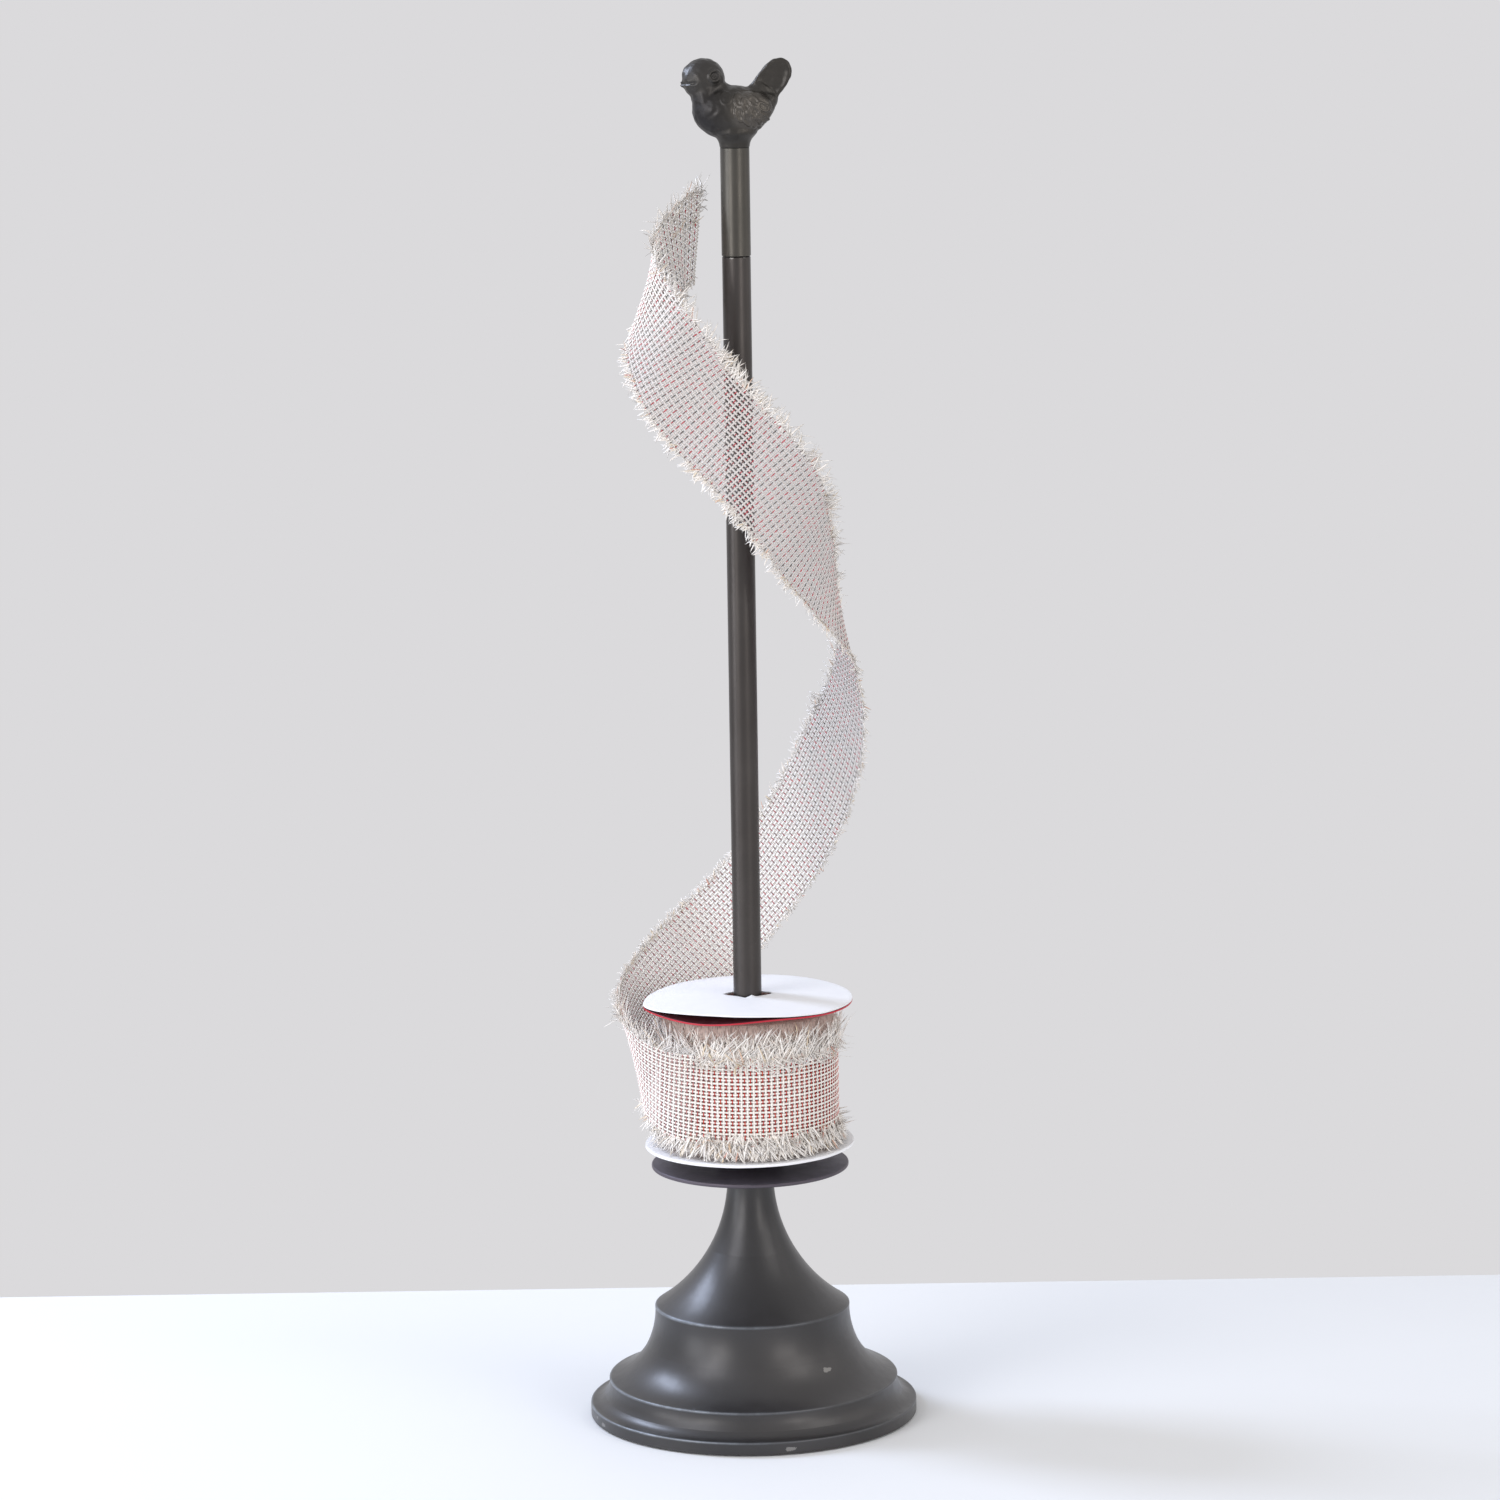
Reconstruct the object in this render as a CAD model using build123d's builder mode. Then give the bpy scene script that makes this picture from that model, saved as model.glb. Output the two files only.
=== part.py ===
from build123d import *
import math
import os

# A counter-top ribbon spool holder: a weighted pedestal base, a round rest plate, a tube post
# and a cast bird finial on a short sleeve that unscrews, so that a spool can be dropped on.
# A paper-flanged spool of wired, open-weave ribbon sits on it, with its free end wound up
# round the post. Millimetres, +Z up, origin on the floor at the centre of the base.

# Pedestal base
base_diameter = 149.0
lip_height = 6.4
lip_ledge = 8.6
lower_step_height = 17.5
lower_ledge = 21.5
upper_step_height = 51.0
step_edge = 1.2
step_round = 0.5
neck_radius = 10.5
neck_height = 115.4
neck_straight = 4.5
waist_run = 8.7
waist_rise = 26.4
cove_run = 3.7
cove_rise = 15.0
hollow_run = 2.1
hollow_rise = 3.1
shell_wall = 1.5
rim_lift = 0.8

# Ballast and the felt under it
felt_thickness = 1.5
felt_margin = 1.0
seat_gap = 0.3
nut_pocket_radius = 10.5
nut_pocket_height = 12.0

# Rest plate and collar under the spool
plate_radius = 44.8
plate_thickness = 1.8
collar_radius = 15.0
collar_height = 7.4

# Post
post_radius = 6.35
post_wall = 1.2
post_length = 411.4
plug_length = 22.0
fit_gap = 0.05
edge_break = 0.3

# Tie rod, M6, with its nut and washers
rod_radius = 3.0
rod_engagement = 16.0
rod_hole_gap = 0.3
nut_across_flats = 10.0
nut_height = 5.0
washer_radius = 9.0
washer_thickness = 1.6
lock_washer_radius = 5.9
lock_washer_thickness = 1.6
lock_washer_slit = 1.0
rod_tail = 0.5

# Finial: sleeve, stud, M8 with a pitch of 1.25, and the bird
sleeve_radius = 6.5
sleeve_length = 47.7
joint_gap = 0.2
stud_radius = 4.0
stud_engagement = 10.0
stud_grip = 20.0
spigot_length = 9.0

# Spool
core_bore_radius = 10.0
core_wall = 1.6
card_radius = 47.7
card_thickness = 1.2
backing_radius = 46.6
backing_thickness = 0.8
backing_dish = 1.1
thrust_gap = 0.2

# Ribbon
ribbon_width = 63.5
ribbon_slack = 0.25
roll_radius = 41.7
roll_turns = 12
ribbon_layer = 1.6
tail_thickness = 1.2
tail_unit = 1.0
tail_steps = 54

# Levels of the stack, from the floor up
base_radius = base_diameter / 2
lower_step_radius = base_radius - lip_ledge
upper_step_radius = lower_step_radius - lower_ledge
plate_top = neck_height + plate_thickness
post_top = plate_top + post_length
sleeve_bottom = post_top + joint_gap
sleeve_top = sleeve_bottom + sleeve_length
collar_top = plate_top + collar_height
spool_bottom = collar_top + thrust_gap
ribbon_low = spool_bottom + card_thickness + ribbon_slack
ribbon_high = ribbon_low + ribbon_width
backing_low = ribbon_high + ribbon_slack
top_card_low = backing_low + backing_dish + backing_thickness
plug_radius = post_radius - post_wall - fit_gap
rod_bore = rod_radius + fit_gap
rod_clearance = rod_radius + rod_hole_gap
stud_bore = stud_radius + fit_gap

os.makedirs("parts", exist_ok=True)


def flared_profile(inset):
    """Outline of the three flared steps, from the neck down to the lip, moved in by inset."""
    down = (0, -1)
    neck = neck_radius - inset
    bend = inset * 0.7
    waist = (neck_radius + waist_run - bend, upper_step_height + waist_rise - bend)
    upper = (upper_step_radius - inset, upper_step_height - inset)
    upper_under = (upper[0] - 0.1, upper[1] - step_edge)
    cove = (upper_step_radius + cove_run - bend, lower_step_height + cove_rise - bend)
    lower = (lower_step_radius - inset, lower_step_height - inset)
    lower_under = (lower[0] - 0.1, lower[1] - step_edge)
    hollow = (lower_step_radius + hollow_run - bend, lip_height + hollow_rise - bend)
    lip = (base_radius - inset, lip_height - inset)
    floor = rim_lift
    top = neck_height - inset
    with BuildLine() as outline:
        start = Line((0, top), (neck, top))
        trumpet = Line(start @ 1, (neck, neck_height - neck_straight))
        flare = TangentArc(trumpet @ 1, waist, tangent=down)
        TangentArc(waist, upper, tangent=flare % 1)
        Polyline(upper, (upper[0], upper_under[1]), upper_under)
        wall = TangentArc(upper_under, cove, tangent=down)
        TangentArc(cove, lower, tangent=wall % 1)
        Polyline(lower, (lower[0], lower_under[1]), lower_under)
        foot = TangentArc(lower_under, hollow, tangent=down)
        TangentArc(hollow, lip, tangent=foot % 1)
        Polyline(lip, (lip[0], floor), (0, floor), (0, top))
    return outline.line


# Spun shell of the base, open underneath
with BuildPart() as base_shell:
    with BuildSketch(Plane.XZ):
        with BuildLine():
            add(flared_profile(0))
        make_face()
    revolve(axis=Axis.Z)
    with BuildSketch(Plane.XZ):
        with BuildLine():
            add(flared_profile(shell_wall))
        make_face()
    revolve(axis=Axis.Z, mode=Mode.SUBTRACT)
    with Locations((0, 0, neck_height)):
        Hole(rod_clearance, depth=2 * shell_wall)
    step_levels = (upper_step_height, lower_step_height, lip_height)
    step_rims = [
        rim
        for rim in base_shell.edges().filter_by(GeomType.CIRCLE)
        if min(abs(rim.center().Z - level) for level in step_levels) < 0.01
    ]
    fillet(step_rims, step_round)
base_shell.part.label = "base_shell"
export_step(base_shell.part, "parts/base_shell.step")

# Cast-iron ballast, stepped to fill the lowest step, with a pocket for the nut below
ballast_rim = base_radius - shell_wall - seat_gap
ballast_step = lower_step_radius - shell_wall - seat_gap
rim_top = lip_height - shell_wall - seat_gap
ballast_top = lower_step_height - shell_wall - step_edge
with BuildPart() as ballast:
    with BuildSketch(Plane.XY.offset(felt_thickness)):
        Circle(ballast_rim)
    extrude(amount=rim_top - felt_thickness)
    with BuildSketch(Plane.XY.offset(rim_top)):
        Circle(ballast_step)
    extrude(amount=ballast_top - rim_top)
    with Locations((0, 0, ballast_top)):
        Hole(rod_clearance, depth=ballast_top - felt_thickness)
    with BuildSketch(Plane.XY.offset(felt_thickness)):
        Circle(nut_pocket_radius)
    extrude(amount=nut_pocket_height - felt_thickness, mode=Mode.SUBTRACT)
ballast.part.label = "ballast"
export_step(ballast.part, "parts/ballast.step")

# Felt pad that the holder stands on, with a hole over the nut
with BuildPart() as felt_pad:
    with BuildSketch():
        Circle(ballast_rim - felt_margin)
        Circle(nut_pocket_radius, mode=Mode.SUBTRACT)
    extrude(amount=felt_thickness)
felt_pad.part.label = "felt_pad"
export_step(felt_pad.part, "parts/felt_pad.step")

# Plain washer, split lock washer and nut in the ballast's pocket
washer_low = nut_pocket_height - washer_thickness
lock_low = washer_low - lock_washer_thickness
nut_low = lock_low - nut_height
with BuildPart() as tie_washer:
    with BuildSketch(Plane.XY.offset(washer_low)):
        Circle(washer_radius)
        Circle(rod_clearance, mode=Mode.SUBTRACT)
    extrude(amount=washer_thickness)
tie_washer.part.label = "tie_washer"
export_step(tie_washer.part, "parts/tie_washer.step")

with BuildPart() as lock_washer:
    with BuildSketch(Plane.XY.offset(lock_low)):
        Circle(lock_washer_radius)
        Circle(rod_clearance, mode=Mode.SUBTRACT)
        with Locations((lock_washer_radius, 0)):
            Rectangle(2 * lock_washer_radius, lock_washer_slit, mode=Mode.SUBTRACT)
    extrude(amount=lock_washer_thickness)
lock_washer.part.label = "lock_washer"
export_step(lock_washer.part, "parts/lock_washer.step")

with BuildPart() as tie_nut:
    with BuildSketch(Plane.XY.offset(nut_low)):
        RegularPolygon(nut_across_flats / 2, 6, major_radius=False)
        Circle(rod_bore, mode=Mode.SUBTRACT)
    extrude(amount=nut_height)
    nut_corner = nut_across_flats / math.sqrt(3)
    with BuildSketch(Plane.XZ):
        with BuildLine():
            Polyline(
                (0, nut_low),
                (nut_corner - 0.8, nut_low),
                (nut_corner, nut_low + 0.5),
                (nut_corner, lock_low - 0.5),
                (nut_corner - 0.8, lock_low),
                (0, lock_low),
                close=True,
            )
        make_face()
    revolve(axis=Axis.Z, mode=Mode.INTERSECT)
tie_nut.part.label = "tie_nut"
export_step(tie_nut.part, "parts/tie_nut.step")

# Rod that ties the ballast, the shell, the plate and the post together
rod_low = nut_low - rod_tail
rod_high = plate_top + rod_engagement
with BuildPart() as tie_rod:
    with BuildSketch(Plane.XY.offset(rod_low)):
        Circle(rod_radius)
    extrude(amount=rod_high - rod_low)
    chamfer(tie_rod.edges().filter_by(GeomType.CIRCLE), edge_break)
tie_rod.part.label = "tie_rod"
export_step(tie_rod.part, "parts/tie_rod.step")

# Thin round plate under the spool
with BuildPart() as spool_plate:
    with BuildSketch(Plane.XY.offset(neck_height)):
        Circle(plate_radius)
        Circle(rod_clearance, mode=Mode.SUBTRACT)
    extrude(amount=plate_thickness)
    plate_rims = spool_plate.edges().filter_by(GeomType.CIRCLE).group_by(SortBy.RADIUS)[-1]
    fillet(plate_rims, plate_thickness * 0.35)
spool_plate.part.label = "spool_plate"
export_step(spool_plate.part, "parts/spool_plate.step")

# Collar round the foot of the post, which carries the spool
with BuildPart() as post_collar:
    with BuildSketch(Plane.XY.offset(plate_top)):
        Circle(collar_radius)
        Circle(post_radius + fit_gap, mode=Mode.SUBTRACT)
    extrude(amount=collar_height)
    collar_rims = post_collar.edges().filter_by(GeomType.CIRCLE).group_by(SortBy.RADIUS)[-1]
    chamfer(collar_rims, 2 * edge_break)
post_collar.part.label = "post_collar"
export_step(post_collar.part, "parts/post_collar.step")

# Tube post and the turned plugs in its two ends
with BuildPart() as post_tube:
    with BuildSketch(Plane.XY.offset(plate_top)):
        Circle(post_radius)
        Circle(post_radius - post_wall, mode=Mode.SUBTRACT)
    extrude(amount=post_length)
    tube_mouth = post_tube.edges().group_by(Axis.Z)[-1].sort_by(SortBy.RADIUS)[-1]
    chamfer(tube_mouth, edge_break)
post_tube.part.label = "post_tube"
export_step(post_tube.part, "parts/post_tube.step")

with BuildPart() as lower_plug:
    with BuildSketch(Plane.XY.offset(plate_top)):
        Circle(plug_radius)
        Circle(rod_bore, mode=Mode.SUBTRACT)
    extrude(amount=plug_length)
lower_plug.part.label = "lower_plug"
export_step(lower_plug.part, "parts/lower_plug.step")

with BuildPart() as upper_plug:
    with BuildSketch(Plane.XY.offset(post_top - plug_length)):
        Circle(plug_radius)
        Circle(stud_bore, mode=Mode.SUBTRACT)
    extrude(amount=plug_length)
upper_plug.part.label = "upper_plug"
export_step(upper_plug.part, "parts/upper_plug.step")

# Stud of the finial, screwed into the upper plug
stud_low = post_top - stud_engagement
stud_high = sleeve_bottom + stud_grip
with BuildPart() as finial_stud:
    with BuildSketch(Plane.XY.offset(stud_low)):
        Circle(stud_radius)
    extrude(amount=stud_high - stud_low)
    chamfer(finial_stud.edges().filter_by(GeomType.CIRCLE), 2 * edge_break)
finial_stud.part.label = "finial_stud"
export_step(finial_stud.part, "parts/finial_stud.step")

# Sleeve of the finial, with the plug that holds the stud
sleeve_bore = sleeve_radius - post_wall
with BuildPart() as finial_sleeve:
    with BuildSketch(Plane.XY.offset(sleeve_bottom)):
        Circle(sleeve_radius)
        Circle(sleeve_bore, mode=Mode.SUBTRACT)
    extrude(amount=sleeve_length)
    sleeve_mouth = finial_sleeve.edges().group_by(Axis.Z)[0].sort_by(SortBy.RADIUS)[-1]
    chamfer(sleeve_mouth, edge_break)
finial_sleeve.part.label = "finial_sleeve"
export_step(finial_sleeve.part, "parts/finial_sleeve.step")

with BuildPart() as sleeve_plug:
    with BuildSketch(Plane.XY.offset(sleeve_bottom)):
        Circle(sleeve_bore - fit_gap)
        Circle(stud_bore, mode=Mode.SUBTRACT)
    extrude(amount=stud_grip)
sleeve_plug.part.label = "sleeve_plug"
export_step(sleeve_plug.part, "parts/sleeve_plug.step")

# Cast bird, facing -X with its tail up: lofted body, round head, beak, eye rings, wings,
# a paddle tail with a raised rim, and a foot that flares down onto the sleeve
bird_rise = 16.9
bird_level = sleeve_top + bird_rise
body_rings = [  # place along the body, rise over its middle, half height, half width
    (-19.2, 5.0, 3.2, 3.0),
    (-17.0, 2.6, 7.8, 6.8),
    (-10.5, 0.4, 11.8, 10.4),
    (-1.0, 0.0, 12.6, 12.0),
    (8.0, 0.6, 10.2, 10.4),
    (14.5, 2.4, 6.6, 7.2),
    (18.6, 4.4, 3.6, 4.4),
]
head_radius = 9.0
head_forward = 14.0
head_rise = 15.0
beak_forward = 24.3
beak_rise = 10.9
head_place = Vector(-head_forward, 0, bird_level + head_rise)
beak_tip = Vector(-beak_forward, 0, bird_level + beak_rise)
beak_root_radius = 2.7
beak_tip_radius = 0.6
eye_ring_radius = 2.3
eye_ring_wire = 0.45
eye_side = 7.6
eye_back = 4.6
foot_overlap = 0.2
foot_flare = 3.4
foot_rise = 7.6
tail_back = 11.0
tail_rise = 4.5
tail_root = Vector(tail_back, 0, bird_level + tail_rise)
tail_angle = 52.0
tail_length = 24.0
tail_width = 12.0
paddle_thickness = 3.4
paddle_rim = 0.9
wing_length = 25.0
wing_height = 14.4
wing_root = 8.6
wing_depth = 3.4


def eye_ring(side):
    """Raised ring round the eye on that side of the head."""
    outwards = Vector(eye_back, eye_side * side, 0).normalized()
    with BuildPart() as ring:
        with BuildSketch(Plane(origin=head_place + outwards * (head_radius - 1.0), z_dir=outwards)):
            Circle(eye_ring_radius)
            Circle(eye_ring_radius - eye_ring_wire, mode=Mode.SUBTRACT)
        extrude(amount=1.2)
    return ring.part


def folded_wing(side):
    """Wing folded on that side of the body, narrowing outwards."""
    with BuildPart() as wing:
        for outwards, share in ((wing_root, 1.0), (wing_root + wing_depth, 0.8)):
            with BuildSketch(
                Plane(origin=(1.5, side * outwards, bird_level + 1.0), x_dir=(1, 0, 0.12), z_dir=(0, side, 0))
            ):
                Ellipse(share * wing_length / 2, share * wing_height / 2)
        loft()
    return wing.part


with BuildPart() as bird_finial:
    for along, rise, half_height, half_width in body_rings:
        with BuildSketch(Plane(origin=(along, 0, bird_level + rise), x_dir=(0, 1, 0), z_dir=(1, 0, 0))):
            Ellipse(half_width, half_height)
    loft()
    with Locations(head_place):
        Sphere(head_radius)
    # throat between the head and the breast
    throat_line = Vector(-6.0, 0, bird_level) - head_place
    with BuildSketch(Plane(origin=head_place, z_dir=throat_line)):
        Circle(head_radius * 0.93)
    with BuildSketch(Plane(origin=head_place + throat_line * 0.8, z_dir=throat_line)):
        Circle(head_radius * 1.05)
    loft()
    beak_line = beak_tip - head_place
    with BuildSketch(Plane(origin=head_place + beak_line * 0.6, z_dir=beak_line)):
        Circle(beak_root_radius)
    with BuildSketch(Plane(origin=beak_tip, z_dir=beak_line)):
        Circle(beak_tip_radius)
    loft()
    # foot: a flared ring under the belly and a spigot inside the sleeve
    with BuildSketch(Plane.XZ):
        with BuildLine():
            Polyline((0, bird_level), (0, sleeve_top - spigot_length))
            Line((0, sleeve_top - spigot_length), (sleeve_bore - fit_gap, sleeve_top - spigot_length))
            Line((sleeve_bore - fit_gap, sleeve_top - spigot_length), (sleeve_bore - fit_gap, sleeve_top))
            Line((sleeve_bore - fit_gap, sleeve_top), (sleeve_radius + foot_overlap, sleeve_top))
            Line((sleeve_radius + foot_overlap, sleeve_top), (sleeve_radius + foot_overlap, sleeve_top + 1.0))
            ThreePointArc(
                (sleeve_radius + foot_overlap, sleeve_top + 1.0),
                (sleeve_radius + 0.33 * foot_flare, sleeve_top + 0.55 * foot_rise),
                (sleeve_radius + foot_flare, sleeve_top + foot_rise),
            )
            Line((sleeve_radius + foot_flare, sleeve_top + foot_rise), (0, bird_level))
        make_face()
    revolve(axis=Axis.Z)
    # tail: a flat paddle, thicker at its rim
    tail_plane = Plane(
        origin=tail_root,
        x_dir=(math.cos(math.radians(tail_angle)), 0, math.sin(math.radians(tail_angle))),
        z_dir=(0, -1, 0),
    )
    with BuildSketch(tail_plane):
        with Locations((tail_length / 2 - 3.0, 0)):
            SlotOverall(tail_length, tail_width)
    extrude(amount=paddle_thickness / 2 - 0.4, both=True)
    with BuildSketch(tail_plane):
        with Locations((tail_length / 2 - 3.0, 0)):
            SlotOverall(tail_length, tail_width)
            SlotOverall(tail_length - 2 * paddle_rim, tail_width - 2 * paddle_rim, mode=Mode.SUBTRACT)
    extrude(amount=paddle_thickness / 2, both=True)
    for side in (-1, 1):
        add(eye_ring(side))
        add(folded_wing(side))
bird_finial.part.label = "bird_finial"
export_step(bird_finial.part, "parts/bird_finial.step")

# Spool: paper core and card flanges, the upper one backed by a dished coloured card
core_low = spool_bottom + card_thickness
with BuildPart() as spool_core:
    with BuildSketch(Plane.XY.offset(core_low)):
        Circle(core_bore_radius + core_wall)
        Circle(core_bore_radius, mode=Mode.SUBTRACT)
    extrude(amount=top_card_low - core_low)
spool_core.part.label = "spool_core"
export_step(spool_core.part, "parts/spool_core.step")

with BuildPart() as bottom_flange_card:
    with BuildSketch(Plane.XY.offset(spool_bottom)):
        Circle(card_radius)
        Circle(core_bore_radius, mode=Mode.SUBTRACT)
    extrude(amount=card_thickness)
bottom_flange_card.part.label = "bottom_flange_card"
export_step(bottom_flange_card.part, "parts/bottom_flange_card.step")

with BuildPart() as top_flange_card:
    with BuildSketch(Plane.XY.offset(top_card_low)):
        Circle(card_radius)
        Circle(core_bore_radius, mode=Mode.SUBTRACT)
    extrude(amount=card_thickness)
top_flange_card.part.label = "top_flange_card"
export_step(top_flange_card.part, "parts/top_flange_card.step")

backing_bore = core_bore_radius + core_wall + fit_gap
with BuildPart() as top_flange_backing:
    with BuildSketch(Plane.XZ):
        with BuildLine():
            Polyline(
                (backing_bore, top_card_low),
                (backing_bore, top_card_low - backing_thickness),
                (backing_radius, backing_low),
                (backing_radius, backing_low + backing_thickness),
                close=True,
            )
        make_face()
    revolve(axis=Axis.Z)
top_flange_backing.part.label = "top_flange_backing"
export_step(top_flange_backing.part, "parts/top_flange_backing.step")

# Ribbon on the spool: one unbroken spiral band of half-circle arcs, wound clockwise as seen
# from above, whose outer end is where the free end starts
roll_inner = core_bore_radius + core_wall + seat_gap
roll_pitch = (roll_radius - ribbon_layer - roll_inner) / roll_turns


def half_turn(start_radius, number):
    """Centre and radius of one half-circle arc of the spiral, counted from the core."""
    centre = roll_pitch / 2 if number % 2 else 0.0
    return centre, start_radius + number * roll_pitch / 2


def spiral_point(start_radius, number, angle):
    """A point of the spiral's arc of that number, angle in degrees from its start."""
    centre, radius = half_turn(start_radius, number)
    turn = math.radians(angle + 180 * (number % 2))
    return centre + radius * math.cos(turn), radius * math.sin(turn)


def spiral_arcs(start_radius):
    """The spiral's half-circle arcs, from the core outwards."""
    for number in range(2 * roll_turns):
        yield tuple(spiral_point(start_radius, number, angle) for angle in (0, 90, 180))


tail_stations = [  # turn from the left, radius, height over the roll's middle, lag of the weft,
    # lean outwards (degrees) and width of the ribbon there
    (-58, roll_radius - ribbon_layer / 2, 0, 0, 0, 62),
    (-34, 46, 1, 7, 6, 60),
    (-7, 51, 6, 16, 9, 56),
    (26, 55.5, 18, 26, 15, 52),
    (60, 58.5, 39, 39, 23, 50),
    (90, 57.5, 69, 51, 31, 50),
    (114, 54.5, 100, 59, 12, 50),
    (137, 51, 134, 63, 0, 50),
    (160, 48, 169, 68, -2, 50),
    (177, 44.5, 200, 73, -3, 50),
    (190, 41, 215, 67, -4, 50),
    (218, 38.5, 241, 57, -2, 50),
    (249, 41, 272, 52, 6, 50),
    (285, 45, 302, 47, -11, 50),
    (318, 46, 331, 41, -13, 50),
    (341, 46.5, 340, 47, 5, 50),
    (349, 38.5, 348, 57, 19, 50),
    (362, 28, 369, 66, 23, 50),
    (368, 19.5, 398, 81, 5, 50),
]
roll_middle = (ribbon_low + ribbon_high) / 2

outer_end = math.radians(180 - tail_stations[0][0])
roll_plane = Plane(
    origin=(0, 0, ribbon_high),
    x_dir=(math.cos(outer_end), math.sin(outer_end), 0),
    z_dir=(0, 0, -1),
)
with BuildPart() as ribbon_roll:
    with BuildSketch(roll_plane):
        with BuildLine():
            for begin, middle, end in spiral_arcs(roll_inner):
                ThreePointArc(begin, middle, end)
            inner_end = end
            for begin, middle, end in spiral_arcs(roll_inner + ribbon_layer):
                ThreePointArc(begin, middle, end)
            Line((roll_inner, 0), (roll_inner + ribbon_layer, 0))
            Line(inner_end, end)
        make_face()
    extrude(amount=ribbon_width)
ribbon_roll.part.label = "ribbon_roll"
export_step(ribbon_roll.part, "parts/ribbon_roll.step")

# Least gap between the band's turns, measured on points of neighbouring turns
check_angles = range(0, 180, 6)
roll_gap = min(
    math.dist(spiral_point(roll_inner + ribbon_layer, number, a), spiral_point(roll_inner, number + 2, b))
    for number in range(2 * roll_turns - 2)
    for a in check_angles
    for b in check_angles
)
print(f"least gap between the turns of the ribbon roll: {roll_gap:.2f} mm")


def eased(values, place):
    """A value of a smooth curve through the values, at a place counted in stations."""
    last = len(values) - 1
    number = min(int(place), last - 1)
    part = place - number
    before, after = values[number], values[number + 1]
    rise_before = (after - values[max(number - 1, 0)]) / (2 if number else 1)
    rise_after = (values[min(number + 2, last)] - before) / (2 if number + 1 < last else 1)
    return (
        before * (2 * part**3 - 3 * part**2 + 1)
        + rise_before * (part**3 - 2 * part**2 + part)
        + after * (3 * part**2 - 2 * part**3)
        + rise_after * (part**3 - part**2)
    )


def tail_section(place):
    """Plane across the free end at a place along it, x along the weft, and the width there."""
    turn, radius, height, lag, lean, width = (
        eased(column, place) for column in zip(*tail_stations)
    )
    turn, lag, lean = math.radians(turn), math.radians(lag), math.radians(lean)
    outwards = Vector(-math.cos(turn), math.sin(turn), 0)
    forwards = Vector(math.sin(turn), math.cos(turn), 0)
    upright = Vector(0, 0, 1)
    weft = (upright * math.cos(lag) - forwards * math.sin(lag)) * math.cos(lean) + outwards * math.sin(lean)
    along = forwards * math.cos(lag) + upright * math.sin(lag)
    middle = outwards * radius * tail_unit + upright * (roll_middle + height * tail_unit)
    return Plane(origin=middle, x_dir=weft, z_dir=along), width * tail_unit


# Free end of the ribbon: it leaves the roll at the front left and winds up round the post
with BuildPart() as ribbon_tail:
    for step in range(tail_steps + 1):
        section_plane, section_width = tail_section(step * (len(tail_stations) - 1) / tail_steps)
        with BuildSketch(section_plane):
            Rectangle(section_width, tail_thickness)
    loft(ruled=True)
ribbon_tail.part.label = "ribbon_tail"
export_step(ribbon_tail.part, "parts/ribbon_tail.step")
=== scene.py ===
import math

import bmesh
import bpy
import numpy as np
from mathutils import Matrix, Vector, noise


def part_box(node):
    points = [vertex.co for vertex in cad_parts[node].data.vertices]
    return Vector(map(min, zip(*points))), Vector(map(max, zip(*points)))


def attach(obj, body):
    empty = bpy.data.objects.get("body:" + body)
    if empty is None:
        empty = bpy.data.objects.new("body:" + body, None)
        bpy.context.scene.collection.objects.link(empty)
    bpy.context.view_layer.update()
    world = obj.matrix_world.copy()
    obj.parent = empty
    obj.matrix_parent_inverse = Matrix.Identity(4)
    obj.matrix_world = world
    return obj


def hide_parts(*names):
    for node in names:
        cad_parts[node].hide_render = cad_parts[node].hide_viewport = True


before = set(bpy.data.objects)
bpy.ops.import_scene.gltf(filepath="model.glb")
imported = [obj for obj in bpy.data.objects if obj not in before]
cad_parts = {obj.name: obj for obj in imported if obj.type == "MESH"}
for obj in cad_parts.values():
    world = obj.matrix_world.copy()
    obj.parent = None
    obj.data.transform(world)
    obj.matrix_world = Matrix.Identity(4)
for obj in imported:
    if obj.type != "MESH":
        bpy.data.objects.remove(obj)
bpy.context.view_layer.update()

MM = 0.001

# Node kit: one socket with arithmetic, and one call that adds any node


def operator(operation):
    """The method of a Wire that adds one Math node."""
    return lambda wire, other: wire.maths(operation, other)


class Wire:
    """An output socket of a node tree. Arithmetic on it adds Math nodes."""

    def __init__(self, socket):
        self.socket = socket

    def maths(self, operation, *others):
        values = dict(enumerate((self, *others)))
        return add_node(self.socket.id_data, "ShaderNodeMath", {"operation": operation}, values)

    __add__ = __radd__ = operator("ADD")
    __sub__ = operator("SUBTRACT")
    __mul__ = __rmul__ = operator("MULTIPLY")
    __truediv__ = operator("DIVIDE")
    __pow__ = operator("POWER")

    def __rsub__(self, other):
        return self * -1.0 + other

    def between(self, low, high):
        """1 where the value lies between low and high, else 0."""
        return self.maths("GREATER_THAN", low) * self.maths("LESS_THAN", high)

    def ramp(self, low, high, start=0.0, end=1.0):
        """The value's way from low to high, held to start and end outside them."""
        settings = {"interpolation_type": "SMOOTHSTEP"}
        values = {0: self, 1: low, 2: high, 3: start, 4: end}
        return add_node(self.socket.id_data, "ShaderNodeMapRange", settings, values)


def plug(socket, value):
    """Links a socket to a Wire, or sets its value."""
    if isinstance(value, Wire):
        socket.id_data.links.new(value.socket, socket)
    else:
        socket.default_value = value


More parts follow.
